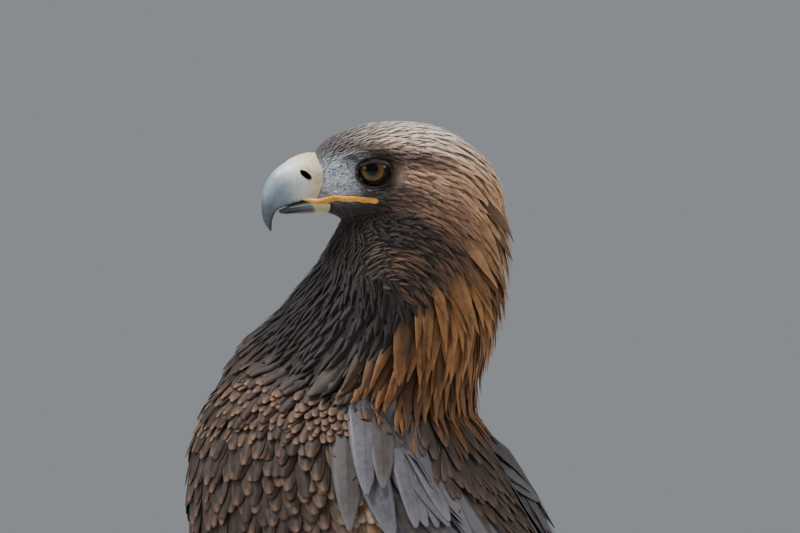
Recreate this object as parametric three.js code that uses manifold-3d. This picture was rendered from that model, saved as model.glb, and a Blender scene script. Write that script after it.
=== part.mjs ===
// A golden eagle, life size, standing on the ground with its head turned to its left.
// Units are millimetres. +Z is up, the breast faces -Y and the bird's left side is +X.
// The origin is on the ground, below the middle of the whole bird.

import * as THREE from 'three';
import { mergeVertices } from 'three/addons/utils/BufferGeometryUtils.js';
import Module from 'manifold-3d';

const wasm = await Module();
wasm.setup();

// Driving dimensions

const GAP = 0.4; // between parts that touch
const FEATHER_THICK = 0.85;
const ROOT_SINK = 2.2; // how deep a feather's root lies in what it grows from
const COVERT_RISE = 3.6; // how far a covert's tip stands off the wing under it
const HEAD_AT = { forward: 25.8, side: 18.6, up: 617 }; // inside the head, level with the eyes
const HEAD_TURN = 37; // degrees to the bird's left
const FOOT_SPREAD = 56; // from the middle to each foot
const FOOT_FORWARD = 2;
const TOE_OUT = 12; // degrees

// The body from inside the head to the tip of the tail: where its axis runs, and how far the
// plumage stands from that axis at the sides, over the back and over the breast and belly.
const BODY = [
  { forward: -6, up: 616, side: 27, back: 34, belly: 30 },
  { forward: 0, up: 596, side: 39, back: 43, belly: 42 },
  { forward: 8, up: 573, side: 47, back: 49, belly: 50 },
  { forward: 19, up: 545, side: 54, back: 57, belly: 54 },
  { forward: 36, up: 518, side: 63, back: 66, belly: 58 },
  { forward: 47, up: 490, side: 73, back: 70, belly: 79 },
  { forward: 46, up: 458, side: 80, back: 74, belly: 91 },
  { forward: 33, up: 420, side: 84, back: 78, belly: 99 },
  { forward: 13, up: 383, side: 84, back: 78, belly: 99 },
  { forward: -12, up: 345, side: 80, back: 77, belly: 92 },
  { forward: -42, up: 305, side: 72, back: 71, belly: 80 },
  { forward: -72, up: 268, side: 60, back: 60, belly: 62 },
  { forward: -98, up: 235, side: 46, back: 43, belly: 42 },
  { forward: -122, up: 207, side: 36, back: 29, belly: 26 },
  { forward: -155, up: 176, side: 38, back: 19, belly: 14 },
  { forward: -200, up: 134, side: 42, back: 16, belly: 9 },
  { forward: -260, up: 79, side: 46, back: 14, belly: 8 },
  { forward: -317, up: 27, side: 50, back: 13, belly: 7 },
];
const NECK_FROM = 0; // distances along the body's axis, from its top end
const NECK_TO = 98;
const TORSO_TO = 462;
const TAIL_CORE_TO = 535;
const TAIL_TIP = 736;

// The head, seen from its own side: each ring's distance before the eyes, its top and bottom
// above the eyes, and its half width.
const HEAD = [
  { forward: 35, top: 9, bottom: -20, side: 11.5 },
  { forward: 30, top: 15.5, bottom: -23, side: 14.5 },
  { forward: 22, top: 21, bottom: -26, side: 20 },
  { forward: 11, top: 25, bottom: -29, side: 25.5 },
  { forward: 0, top: 27.3, bottom: -33, side: 28.5 },
  { forward: -14, top: 28, bottom: -41, side: 33 },
  { forward: -28, top: 26.5, bottom: -50, side: 36 },
  { forward: -42, top: 21.5, bottom: -56, side: 35.5 },
  { forward: -54, top: 13, bottom: -54, side: 30 },
  { forward: -65, top: 2.5, bottom: -44, side: 21 },
  { forward: -70, top: -12, bottom: -33, side: 9 },
];
const CHIN_CUT = { up: -35, slope: 0.3 }; // the plane that parts the head from the neck
const EYE = { side: 19.2, up: 0, forward: 4, radius: 9.4 };
const LID = { radius: 8.1, thick: 1.7, side: 26.6, lean: 14 };
const BROW = { side: 21.5, forward: 11, up: 10.2, long: 20, wide: 8, high: 3.6, tilt: 13, splay: 14 };
const LIP = {
  thick: 1.25,
  forward: [38.5, 28, 17, 5.5],
  side: [12, 20, 26, 28.6],
  up: [-15, -15.8, -16.4, -17.2],
  open: [2.2, 1.9, 1.4, 0.9],
};

// The bill along its own curve: where the axis runs, how deep it is over and under that axis,
// and its half width. The upper half ends in the hook.
const BILL = [
  { forward: 28, up: -3.2, over: 11.5, below: 14, wide: 12 },
  { forward: 36, up: -3.3, over: 12.6, below: 15.5, wide: 11.8 },
  { forward: 44, up: -5.6, over: 11.6, below: 14.5, wide: 10.2 },
  { forward: 51, up: -9, over: 9.8, below: 12.8, wide: 8.2 },
  { forward: 56, up: -14.5, over: 7.2, below: 9.6, wide: 6 },
  { forward: 58.7, up: -21, over: 4.6, below: 4.6, wide: 4.2 },
  { forward: 59.4, up: -27.5, over: 2.6, below: 2.3, wide: 2.6 },
  { forward: 58, up: -33.4, over: 0.5, below: 0.5, wide: 0.5 },
];
const LOWER_BILL = [
  { forward: 27, up: -20.2, over: 3.6, below: 3.6, wide: 12 },
  { forward: 36, up: -19.9, over: 3.8, below: 3.9, wide: 10.2 },
  { forward: 45, up: -21, over: 3, below: 3.2, wide: 7.4 },
  { forward: 50, up: -22, over: 2.2, below: 2.4, wide: 4.8 },
  { forward: 53, up: -22.8, over: 1.2, below: 1.2, wide: 2.6 },
];
const BILL_RIDGE = 0.25; // how much narrower the upper bill is along its top
const CERE_CUT = { forward: 44.2, up: -3, lean: 29 }; // where the horn meets the cere
const NOSTRIL = { forward: 41, up: -3.2, side: 12, long: 4.2, high: 1.5, deep: 3, tilt: 38 };

// The line of the mouth: its height, a slight slope and bow, and how it drops towards the hook.
const MOUTH = {
  up: -17.2,
  slope: -0.035,
  bow: 0.9,
  middle: 40,
  width: 9,
  drop: 0.36,
  dropFrom: 41,
  hook: 53.6,
};

// Small tools

const rad = THREE.MathUtils.degToRad;
const lerp = THREE.MathUtils.lerp;
const ahead = (forward, side, up) => new THREE.Vector3(side, -forward, up);

// A seeded draw between -1 and 1, the same on each run.
let seed = 7;
function wobble(size = 1) {
  seed = (seed * 16807) % 2147483647;
  return ((seed / 2147483647) * 2 - 1) * size;
}

// A closed solid from a three.js geometry, turned right side out.
function solid(geometry) {
  const bare = new THREE.BufferGeometry();
  bare.setAttribute('position', geometry.getAttribute('position').clone());
  bare.setIndex(geometry.getIndex());
  const merged = mergeVertices(bare, 1e-3);
  const points = merged.attributes.position.array;
  const faces = new Uint32Array(merged.index.array);
  const [a, b, c] = [new THREE.Vector3(), new THREE.Vector3(), new THREE.Vector3()];
  let volume = 0;
  for (let i = 0; i < faces.length; i += 3) {
    [a, b, c].forEach((corner, k) => corner.fromArray(points, faces[i + k] * 3));
    volume += a.dot(b.cross(c));
  }
  if (volume < 0)
    for (let i = 0; i < faces.length; i += 3) [faces[i], faces[i + 1]] = [faces[i + 1], faces[i]];
  return new wasm.Manifold(new wasm.Mesh({ numProp: 3, vertProperties: points, triVerts: faces }));
}

const joined = (pieces) => wasm.Manifold.union(pieces);
const placed = (piece, matrix) => piece.transform(matrix.elements);

// The largest closed surface of a solid, without loose scraps.
function largest(piece) {
  const bodies = piece.decompose();
  return bodies.reduce((best, next) => (next.volume() > best.volume() ? next : best));
}

// A closed tube whose wall is placed ring by ring. place(along, angle, out) gets the share of
// the length, the angle round the ring, and 1 on the wall or 0 at the middle of an end.
function tube(sides, steps, place) {
  const geometry = new THREE.CylinderGeometry(1, 1, 1, sides, steps);
  const points = geometry.getAttribute('position');
  for (let i = 0; i < points.count; i++) {
    const [x, y, z] = [points.getX(i), points.getY(i), points.getZ(i)];
    const spot = place(0.5 - y, Math.atan2(x, z), Math.min(1, Math.hypot(x, z)));
    points.setXYZ(i, spot.x, spot.y, spot.z);
  }
  return solid(geometry);
}

// A smooth path through rows of numbers: sample(rows, keys, share) reads each key at that share.
function sampler(rows, keys) {
  const curves = [];
  for (let k = 0; k < keys.length; k += 3) {
    const read = (row, n) => row[keys[k + n]] ?? 0;
    const spots = rows.map((row) => new THREE.Vector3(read(row, 0), read(row, 1), read(row, 2)));
    curves.push(new THREE.CatmullRomCurve3(spots, false, 'catmullrom', 0.5));
  }
  return (share) => curves.flatMap((curve) => curve.getPoint(share).toArray()).slice(0, keys.length);
}

// A ball, stretched, turned about the side axis and then about the vertical one.
function bead(radii, centre, tilt = 0, splay = 0, sides = 10) {
  const geometry = new THREE.SphereGeometry(1, sides, Math.round(sides * 0.66));
  geometry.scale(radii.x, radii.y, radii.z);
  geometry.rotateX(rad(tilt));
  geometry.rotateZ(rad(splay));
  geometry.translate(centre.x, centre.y, centre.z);
  return solid(geometry);
}

// A sine or cosine that stays nearer to 1, which squares a round section a little.
const fuller = (value) => Math.sign(value) * Math.abs(value) ** 0.88;

// The body surface

const spine = new THREE.CatmullRomCurve3(
  BODY.map((row) => ahead(row.forward, 0, row.up)),
  false,
  'catmullrom',
  0.5,
);
const girth = sampler(BODY, ['side', 'back', 'belly']);
const SPINE_LENGTH = spine.getLength();

function bodyFrame(distance) {
  const share = spine.getUtoTmapping(THREE.MathUtils.clamp(distance / SPINE_LENGTH, 0, 1));
  const along = spine.getTangent(share);
  const [side, backDepth, belly] = girth(share);
  const back = new THREE.Vector3(0, -along.z, along.y);
  return { centre: spine.getPoint(share), back, side, backDepth, belly };
}

// A point on the plumage, by its distance along the body's axis, the angle from the middle of
// the back towards the bird's left, and its height above the plumage.
function bodyPoint(distance, degrees, lift = 0) {
  const ring = bodyFrame(distance);
  const [s, c] = [Math.sin(rad(degrees)), Math.cos(rad(degrees))];
  const depth = c > 0 ? ring.backDepth : ring.belly;
  const normal = new THREE.Vector3(s / ring.side, 0, 0).addScaledVector(ring.back, c / depth).normalize();
  return ring.centre
    .clone()
    .add(new THREE.Vector3(s * ring.side, 0, 0))
    .addScaledVector(ring.back, c * depth)
    .addScaledVector(normal, lift);
}

// The distance along the axis where a line down the plumage has become as long as asked.
function further(distance, degrees, length) {
  const step = 2;
  let spot = bodyPoint(distance, degrees);
  for (let travelled = 0; travelled < length; distance += step) {
    const next = bodyPoint(distance + step, degrees);
    travelled += next.distanceTo(spot);
    spot = next;
  }
  return distance;
}

function bodyTube(from, to, lift, sides, steps) {
  return tube(sides, steps, (along, angle, out) => {
    const distance = lerp(from, to, along);
    const edge = bodyPoint(distance, THREE.MathUtils.radToDeg(angle), lift);
    return bodyFrame(distance).centre.lerp(edge, out);
  });
}

// Feathers

// A flat vane with both faces split alike. place(along, across, rise) puts a point by its share
// of the length, its share of the half width from -1 to 1, and its height in the thickness.
function vane(place, { steps = 4, columns = 2, thick = FEATHER_THICK } = {}) {
  const sheet = new THREE.PlaneGeometry(2, 1, columns, steps);
  const grid = sheet.getAttribute('position');
  const points = [];
  for (const face of [1, -1])
    for (let i = 0; i < grid.count; i++) {
      const along = 1 - (0.5 + grid.getY(i)) ** 1.5;
      const edge = 1 - 0.4 * Math.abs(grid.getX(i));
      points.push(...place(along, grid.getX(i), (face * thick * edge) / 2).toArray());
    }
  const top = [...sheet.getIndex().array];
  const under = top.map((corner) => corner + grid.count).reverse();
  const row = columns + 1;
  const border = [];
  for (let i = 0; i < steps; i++) border.push(i * row);
  for (let i = 0; i < columns; i++) border.push(steps * row + i);
  for (let i = steps; i > 0; i--) border.push(i * row + columns);
  for (let i = columns; i > 0; i--) border.push(i);
  const walls = border.flatMap((p, i) => {
    const q = border[(i + 1) % border.length];
    return [q, p, p + grid.count, q, p + grid.count, q + grid.count];
  });
  const geometry = new THREE.BufferGeometry();
  geometry.setAttribute('position', new THREE.Float32BufferAttribute(points, 3));
  geometry.setIndex([...top, ...under, ...walls]);
  return solid(geometry);
}

// Half width of a feather along its length, as a share of its widest: round, pointed or narrow.
const roundEnd = (t, from, length, least) =>
  Math.sqrt(Math.max(least, 1 - Math.max(0, (t - from) / length) ** 2));
const OUTLINES = {
  round: (t) => Math.min(1, 0.62 + 1.1 * t) * roundEnd(t, 0.72, 0.29, 0.06),
  pointed: (t) => Math.min(1, 0.7 + t) * Math.max(0.1, 1 - Math.max(0, (t - 0.35) / 0.7) ** 1.5),
  flight: (t) => (1 - 0.25 * t) * roundEnd(t, 0.86, 0.145, 0.07),
};

// A feather that lies on the body from one spot to another. A spot is a distance along the
// body's axis, degrees from the middle of the back, and a height above the plumage. What it
// grows from may stand on the plumage by itself, and bed says how far at each place.
function lying(from, to, halfWidth, outline, { tilt = 0.08, steps, columns = 2, thick, bed = () => 0 } = {}) {
  const place = (along, across, rise) => {
    const distance = lerp(from[0], to[0], along);
    const middle = lerp(from[1], to[1], along);
    const ring = bodyFrame(distance);
    const reach = (ring.side + Math.max(ring.backDepth, ring.side * 0.6)) / 2;
    const offset = across * halfWidth * OUTLINES[outline](along);
    const degrees = middle + THREE.MathUtils.radToDeg(offset / reach);
    const height = lerp(from[2], to[2], along ** 0.75) + offset * tilt + rise;
    return bodyPoint(distance, degrees, bed(distance, degrees) + height);
  };
  return vane(place, { steps, columns, thick });
}

// Head

const headFrame = new THREE.Matrix4()
  .makeRotationZ(rad(HEAD_TURN))
  .setPosition(ahead(HEAD_AT.forward, HEAD_AT.side, HEAD_AT.up));

function headTube() {
  const ring = sampler(HEAD, ['forward', 'top', 'bottom', 'side']);
  return tube(16, 12, (along, angle, out) => {
    const [forward, top, bottom, side] = ring(along);
    const across = fuller(Math.sin(angle));
    const high = fuller(Math.cos(angle));
    return ahead(forward, out * side * across, (top + bottom) / 2 + (out * high * (top - bottom)) / 2);
  });
}

function browSolids() {
  return [1, -1].map((hand) =>
    bead(
      new THREE.Vector3(BROW.wide, BROW.long, BROW.high),
      ahead(BROW.forward, hand * BROW.side, BROW.up),
      BROW.tilt,
      hand * BROW.splay,
    ),
  );
}

function lidSolids() {
  return [1, -1].map((hand) => {
    const ring = new THREE.TorusGeometry(LID.radius, LID.thick, 4, 11);
    ring.rotateY(Math.PI / 2);
    ring.rotateZ(rad(-hand * LID.lean));
    ring.translate(hand * LID.side, -EYE.forward - 1, EYE.up);
    return solid(ring);
  });
}

// The soft yellow lips, an upper and a lower one on each side, meet at the corner of the mouth.
function lipSolids() {
  const spots = (hand, row) =>
    LIP.side.map((side, i) => ahead(LIP.forward[i], hand * side, LIP.up[i] - row * LIP.open[i]));
  const paths = [1, -1].flatMap((hand) => [0, 1].map((row) => new THREE.CatmullRomCurve3(spots(hand, row))));
  return paths.map((path) =>
    tube(5, 6, (along, angle, out) => {
      const thick = LIP.thick * (0.55 + 0.45 * Math.sin(Math.PI * along)) * out;
      return path.getPoint(along).add(ahead(0, Math.sin(angle) * thick, Math.cos(angle) * thick));
    }),
  );
}

const eyeSolid = (hand, grow = 0, sides = 10) =>
  bead(
    new THREE.Vector3(1, 1, 1).multiplyScalar(EYE.radius + grow),
    ahead(EYE.forward, hand * EYE.side, EYE.up),
    0,
    0,
    sides,
  );

// A wide box whose top face lies on a plane, to cut away what is under it.
function under(point, normal, size = 400) {
  const box = new THREE.BoxGeometry(size, size, size).translate(0, 0, -size / 2);
  const up = new THREE.Vector3(0, 0, 1);
  const turn = new THREE.Quaternion().setFromUnitVectors(up, normal.clone().normalize());
  box.applyQuaternion(turn).translate(point.x, point.y, point.z);
  return solid(box);
}

const chinNormal = ahead(CHIN_CUT.slope, 0, 1).normalize();
const belowChin = (shift) => under(ahead(0, 0, CHIN_CUT.up).addScaledVector(chinNormal, shift), chinNormal);

// Bill

function billTube(rows, sides, steps, ridge) {
  const ring = sampler(rows, ['forward', 'up', 'over', 'below', 'wide']);
  const step = 0.01;
  return tube(sides, steps, (along, angle, out) => {
    const [forward, up, over, below, wide] = ring(along);
    const [f0, u0] = ring(Math.max(0, along - step));
    const [f1, u1] = ring(Math.min(1, along + step));
    const lie = new THREE.Vector2(f1 - f0, u1 - u0).normalize();
    const high = Math.cos(angle) * (Math.cos(angle) > 0 ? over : below) * out;
    const narrow = 1 - ridge * Math.max(0, Math.cos(angle)) ** 2;
    return ahead(forward - lie.y * high, Math.sin(angle) * wide * narrow * out, up + lie.x * high);
  });
}

const upperBill = (rows = BILL) => billTube(rows, 12, 12, BILL_RIDGE);
const lowerBill = (rows = LOWER_BILL) => billTube(rows, 10, 7, 0);

// Rows of a bill grown all round by the gap, and backwards at its root.
function grown(rows) {
  return rows.map((row, i) => ({
    ...row,
    forward: row.forward - (i ? 0 : GAP),
    over: row.over + GAP,
    below: row.below + GAP,
    wide: row.wide + GAP,
  }));
}

function mouthHeight(forward) {
  const bow = MOUTH.bow * Math.exp(-(((forward - MOUTH.middle) / MOUTH.width) ** 2));
  const drop = MOUTH.drop * Math.max(0, forward - MOUTH.dropFrom);
  return MOUTH.up + MOUTH.slope * (forward - MOUTH.middle) + bow - drop;
}

// The space below the mouth line, from the inside of the hook back to the gape.
function belowMouth(shift) {
  const size = 60;
  return tube(4, 12, (along, angle, out) => {
    const forward = lerp(MOUTH.hook - shift, -10, along);
    const mouth = mouthHeight(forward) + shift;
    const corner = angle + Math.PI / 4;
    const up = Math.cos(corner) > 0 ? mouth : -size * out + mouth * (1 - out);
    return ahead(forward, Math.sin(corner) * size * out, up);
  });
}

// Builds

const materials = {
  crown: new THREE.MeshStandardMaterial({ color: 0x9c6a3f, roughness: 0.75 }),
  hackle: new THREE.MeshStandardMaterial({ color: 0xa8662c, roughness: 0.7 }),
  plumage: new THREE.MeshStandardMaterial({ color: 0x3a2a22, roughness: 0.75 }),
  wing: new THREE.MeshStandardMaterial({ color: 0x4b3a33, roughness: 0.6 }),
  tail: new THREE.MeshStandardMaterial({ color: 0x4a4039, roughness: 0.6 }),
  shank: new THREE.MeshStandardMaterial({ color: 0x8a6844, roughness: 0.8 }),
  skin: new THREE.MeshStandardMaterial({ color: 0xe0b53c, roughness: 0.55 }),
  cere: new THREE.MeshStandardMaterial({ color: 0xe8dcc0, roughness: 0.45 }),
  horn: new THREE.MeshStandardMaterial({ color: 0x7f93a6, roughness: 0.35 }),
  claw: new THREE.MeshStandardMaterial({ color: 0x17161a, roughness: 0.3 }),
  eye: new THREE.MeshStandardMaterial({ color: 0x5e4018, roughness: 0.1 }),
};

function meshOf(piece, name, material) {
  const made = piece.getMesh();
  const geometry = new THREE.BufferGeometry();
  geometry.setAttribute('position', new THREE.BufferAttribute(made.vertProperties, 3));
  geometry.setIndex(new THREE.BufferAttribute(made.triVerts, 1));
  geometry.computeVertexNormals();
  const mesh = new THREE.Mesh(geometry, material);
  mesh.name = name;
  return mesh;
}

// The lengths of the trunk, at their own size or grown by a gap to cut what lies on them.
const neckTube = (grow = 0) => bodyTube(NECK_FROM, NECK_TO, grow, 18, 5);
const torsoTube = (grow = 0) => bodyTube(NECK_TO, TORSO_TO, grow, 18, 14);

function tailCore(grow = 0) {
  return tube(10, 3, (along, angle, out) => {
    const ring = bodyFrame(lerp(TORSO_TO + GAP - grow, TAIL_CORE_TO + grow, along));
    const depth = (Math.cos(angle) > 0 ? ring.backDepth : ring.belly) * (1 - 0.85 * along ** 1.5) + grow;
    const side = ring.side * (1 - 0.42 * along) + grow;
    return ring.centre
      .clone()
      .add(ahead(0, Math.sin(angle) * side * out, 0))
      .addScaledVector(ring.back, Math.cos(angle) * depth * out);
  });
}

const trunkAround = joined([torsoTube(GAP), tailCore(GAP)]);

function buildHead() {
  const throat = placed(neckTube(), headFrame.clone().invert());
  const flesh = joined([headTube(), throat]);
  const dressed = joined([flesh, ...browSolids(), ...lidSolids(), ...lipSolids()]);
  const sockets = [eyeSolid(1, GAP), eyeSolid(-1, GAP)];
  const room = joined([upperBill(grown(BILL)), lowerBill(grown(LOWER_BILL)), ...sockets]);
  return {
    head: largest(dressed.subtract(room).subtract(belowChin(GAP / 2))),
    whole: placed(flesh, headFrame),
  };
}

function nostrilPits() {
  return [1, -1].map((hand) =>
    bead(
      new THREE.Vector3(NOSTRIL.deep, NOSTRIL.long, NOSTRIL.high),
      ahead(NOSTRIL.forward, hand * NOSTRIL.side, NOSTRIL.up),
      -NOSTRIL.tilt,
      0,
      8,
    ),
  );
}

function buildBill() {
  const upper = upperBill().subtract(belowMouth(GAP / 2));
  const backwards = ahead(-Math.cos(rad(CERE_CUT.lean)), 0, Math.sin(rad(CERE_CUT.lean)));
  const seam = ahead(CERE_CUT.forward, 0, CERE_CUT.up);
  const front = under(seam.clone().addScaledVector(backwards, -GAP / 2), backwards);
  const rear = under(seam.clone().addScaledVector(backwards, GAP / 2), backwards.clone().negate());
  return {
    horn: largest(upper.intersect(front)),
    cere: largest(upper.intersect(rear).subtract(joined(nostrilPits()))),
    lower: largest(lowerBill().intersect(belowMouth(-GAP / 2))),
  };
}

const headParts = buildHead();
const billParts = buildBill();

// Neck with its hackles

const HACKLES = [
  { at: 32, count: 4, spread: 60 },
  { at: 48, count: 5, spread: 80 },
  { at: 63, count: 6, spread: 84 },
  { at: 77, count: 5, spread: 68, rise: 9 },
];
const HACKLE = { half: 12.5, long: 46, rise: 6, thick: 1.2 };

function hackles() {
  return HACKLES.flatMap(({ at, count, spread, rise = HACKLE.rise }) =>
    Array.from({ length: count }, (_, i) => {
      const degrees = lerp(-spread, spread, i / (count - 1));
      const from = [at + wobble(2), degrees, -ROOT_SINK];
      const to = [further(at, degrees, HACKLE.long + wobble(3)), degrees + wobble(3), rise];
      const make = { tilt: wobble(0.06), steps: 3, columns: 1, thick: HACKLE.thick };
      return lying(from, to, HACKLE.half, 'pointed', make);
    }),
  );
}

function buildNeck() {
  const chin = placed(belowChin(-GAP / 2), headFrame);
  const shoulders = bodyTube(NECK_TO + GAP, TORSO_TO, GAP, 18, 14);
  return largest(joined([neckTube(), headParts.whole, ...hackles()]).intersect(chin).subtract(shoulders));
}

// Wing

// The folded arm and hand under the coverts: where its two edges run and how far it stands out.
const WING_CORE = [
  { at: 128, upper: 62, lower: 122, thick: 2 },
  { at: 148, upper: 50, lower: 144, thick: 10 },
  { at: 180, upper: 42, lower: 152, thick: 14 },
  { at: 230, upper: 38, lower: 150, thick: 15 },
  { at: 290, upper: 35, lower: 136, thick: 13 },
  { at: 350, upper: 33, lower: 114, thick: 10 },
  { at: 410, upper: 31, lower: 98, thick: 7.5 },
  { at: 470, upper: 32, lower: 82, thick: 4.5 },
  { at: 515, upper: 36, lower: 70, thick: 2 },
];
const WING_BED = -2.5; // the wing's inner face, against the body

function wingCore(grow = 0) {
  const read = sampler(WING_CORE, ['at', 'upper', 'lower', 'thick']);
  return tube(9, 8, (along, angle, out) => {
    const [at, upper, lower, thick] = read(along);
    const degrees = lerp(upper - grow, lower + grow, 0.5 + 0.5 * out * Math.sin(angle));
    const round = Math.cos(angle);
    return bodyPoint(at, degrees, (round > 0 ? (thick + grow) * round ** 0.6 : WING_BED - grow) * out);
  });
}

// How far the folded arm stands off the plumage at a spot.
function coreHeight(distance, degrees) {
  const next = WING_CORE.findIndex((row) => row.at >= distance);
  if (next < 1) return 0;
  const [a, b] = [WING_CORE[next - 1], WING_CORE[next]];
  const share = (distance - a.at) / (b.at - a.at);
  const [upper, lower] = [lerp(a.upper, b.upper, share), lerp(a.lower, b.lower, share)];
  const side = (degrees - (upper + lower) / 2) / ((lower - upper) / 2);
  return lerp(a.thick, b.thick, share) * Math.max(0, 1 - side * side) ** 0.3;
}

// One tier of feathers: its first feather is the lowest on the flank, its last the one nearest
// the back. Each number of a spot runs evenly from the first feather to the last.
const COVERTS = [
  { count: 4, half: 22, from: [[148, 132], [156, 70]], to: [[214, 138], [220, 64]] },
  { count: 5, half: 20, from: [[194, 132], [198, 64]], to: [[270, 124], [280, 58]] },
  { count: 4, half: 21, from: [[252, 112], [256, 62]], to: [[338, 103], [350, 56]] },
  { count: 4, half: 20, from: [[306, 98], [312, 58]], to: [[408, 91], [424, 52]] },
];
const SCAPULARS = { count: 3, half: 19, from: [[178, 54], [262, 42]], to: [[290, 45], [404, 33]], rise: 6 };

// Flight feathers end in a straight, closed fan that bridges the waist before the tail. A root
// is a spot on the body, and a tip is a distance, a shift across the fan towards the belly and
// a layer. The long primaries lie in the fan from their roots on.
const SECONDARIES = {
  count: 4,
  half: 22,
  from: [[372, 88, 2], [352, 46, 4]],
  to: [[522, 12, 5.6], [592, -14, 12]],
};
const PRIMARIES = { count: 4, half: 13, from: [[440], [430]], to: [[704, 4, 0], [606, -3, 4.2]] };
const FAN = { start: 430, end: 704, from: [430, 72, -3], to: [704, 50, 3.5] };

function tier({ count, half, from, to }, make) {
  return Array.from({ length: count }, (_, i) => {
    const spot = ([first, last]) => first.map((value, k) => lerp(value, last[k], i / (count - 1)));
    const tip = spot(to);
    return make(spot(from), [tip[0] + wobble(3), ...tip.slice(1)], half);
  });
}

const fanStart = bodyPoint(...FAN.from);
const fanLine = bodyPoint(...FAN.to).sub(fanStart);
const fanOut = bodyPoint(FAN.end, 60, 1).sub(bodyPoint(FAN.end, 60)).projectOnPlane(fanLine).normalize();
const fanAcross = fanOut.clone().cross(fanLine).normalize().multiplyScalar(-1);

function fanPoint(distance, side, layer) {
  const share = (distance - FAN.start) / (FAN.end - FAN.start);
  return fanStart
    .clone()
    .addScaledVector(fanLine, share)
    .addScaledVector(fanAcross, side)
    .addScaledVector(fanOut, layer);
}

function flightFeather(root, tip, halfWidth) {
  const onBody = root.length > 1;
  const place = (along, across, rise) => {
    const distance = lerp(root[0], tip[0], along);
    const middle = fanPoint(distance, tip[1], tip[2]);
    const held = onBody ? 1 - THREE.MathUtils.smoothstep(along, 0, 0.7) : 0;
    if (held) middle.lerp(bodyPoint(distance, root[1], root[2]), held);
    const offset = across * halfWidth * OUTLINES.flight(along);
    return middle.addScaledVector(fanAcross, offset).addScaledVector(fanOut, rise);
  };
  return vane(place, { steps: onBody ? 5 : 3, columns: 1 });
}

const wingAround = wingCore(COVERT_RISE + 2.5);

function buildWing() {
  const covert = (rise) => (from, to, half) =>
    lying([...from, -ROOT_SINK], [...to, rise], half, 'round', { steps: 3, bed: coreHeight });
  const coverts = [...COVERTS, SCAPULARS].flatMap((row) => tier(row, covert(row.rise ?? COVERT_RISE)));
  const flight = [SECONDARIES, PRIMARIES].flatMap((row) => tier(row, flightFeather));
  return largest(joined([wingCore(), ...coverts, ...flight]).subtract(joined([trunkAround, tailCore(2)])));
}

// Tail

const RECTRIX = { pairs: 6, half: 23, root: 478, spread: [3, 34], top: 5.2, layer: 2.3, thick: 0.8 };
const TAIL_SAG = 0.0016; // how the tail droops to its sides
const TAIL_COVERT = { half: 13, spread: 18, root: 485 };
const ABOVE_TAIL = { start: 7, end: 9.4, tip: 590, layer: 1.3 };
const BELOW_TAIL = { start: -11, end: -12.6, tip: 575, layer: -1.3 };

function tailPoint(distance, side, rise) {
  const ring = bodyFrame(distance);
  return ring.centre.clone().add(ahead(0, side, 0)).addScaledVector(ring.back, rise - TAIL_SAG * side * side);
}

// The middle pair lies on top, and each feather has a layer of its own.
function tailFeather(pair, hand) {
  const out = pair / (RECTRIX.pairs - 1);
  const layer = RECTRIX.top - RECTRIX.layer * (pair + (hand < 0 ? 0.5 : 0));
  const tip = TAIL_TIP - 7 * out + wobble(2);
  return vane(
    (along, across, rise) => {
      const width = RECTRIX.half * (0.45 + 0.55 * Math.min(1, along * 1.8)) * 1.2 * OUTLINES.flight(along);
      const middle = lerp(1.5 + pair * 2.2, lerp(...RECTRIX.spread, out), along);
      return tailPoint(lerp(RECTRIX.root, tip, along), hand * (middle + across * width), layer + rise);
    },
    { steps: 4, columns: 1, thick: RECTRIX.thick },
  );
}

// Coverts over and under the tail's root, from -2 to 2 across it. The middle one lies outermost.
function tailCovert(place, { start, end, tip, layer }) {
  const side = (place * TAIL_COVERT.spread) / 2;
  const depth = layer * (Math.abs(place) + (place > 0 ? 0.5 : 0));
  return vane(
    (along, across, rise) => {
      const middle = side * lerp(0.7, 1, along);
      const edge = across * TAIL_COVERT.half * OUTLINES.round(along);
      const height = lerp(start, end, along) - depth + rise;
      return tailPoint(lerp(TAIL_COVERT.root, tip, along), middle + edge, height);
    },
    { steps: 3, columns: 1, thick: FEATHER_THICK },
  );
}

function buildTail() {
  const pairs = Array.from({ length: RECTRIX.pairs }, (_, i) => [tailFeather(i, 1), tailFeather(i, -1)]);
  const places = [-2, -1, 0, 1, 2];
  const coverts = [ABOVE_TAIL, BELOW_TAIL].flatMap((row) => places.map((place) => tailCovert(place, row)));
  return largest(joined([tailCore(), ...pairs.flat(), ...coverts]));
}

// Legs

const THIGH = [
  { forward: 42, side: 34, up: 345, across: 14, deep: 16 },
  { forward: 43, side: 42, up: 320, across: 28, deep: 34 },
  { forward: 40, side: 48, up: 293, across: 34, deep: 43 },
  { forward: 33, side: 52, up: 262, across: 35, deep: 44 },
  { forward: 24, side: 57, up: 226, across: 31, deep: 40 },
  { forward: 12, side: 60, up: 188, across: 26, deep: 33 },
  { forward: 0, side: 60, up: 152, across: 21, deep: 26 },
  { forward: -8, side: 59, up: 122, across: 16.5, deep: 19.5 },
];
const SHANK = [
  { forward: -8, side: 59, up: 121.4, across: 15, deep: 18 },
  { forward: -8, side: 58.5, up: 98, across: 13.5, deep: 16 },
  { forward: -4, side: 57.5, up: 66, across: 12.5, deep: 14 },
  { forward: 0, side: 56.5, up: 38, across: 12.5, deep: 13.5 },
  { forward: 2, side: 56, up: 26, across: 12, deep: 13 },
];

function limb(rows, sides, steps) {
  const read = sampler(rows, ['forward', 'side', 'up', 'across', 'deep']);
  return tube(sides, steps, (along, angle, out) => {
    const [forward, side, up, across, deep] = read(along);
    return ahead(forward + Math.cos(angle) * deep * out, side + Math.sin(angle) * across * out, up);
  });
}

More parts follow.
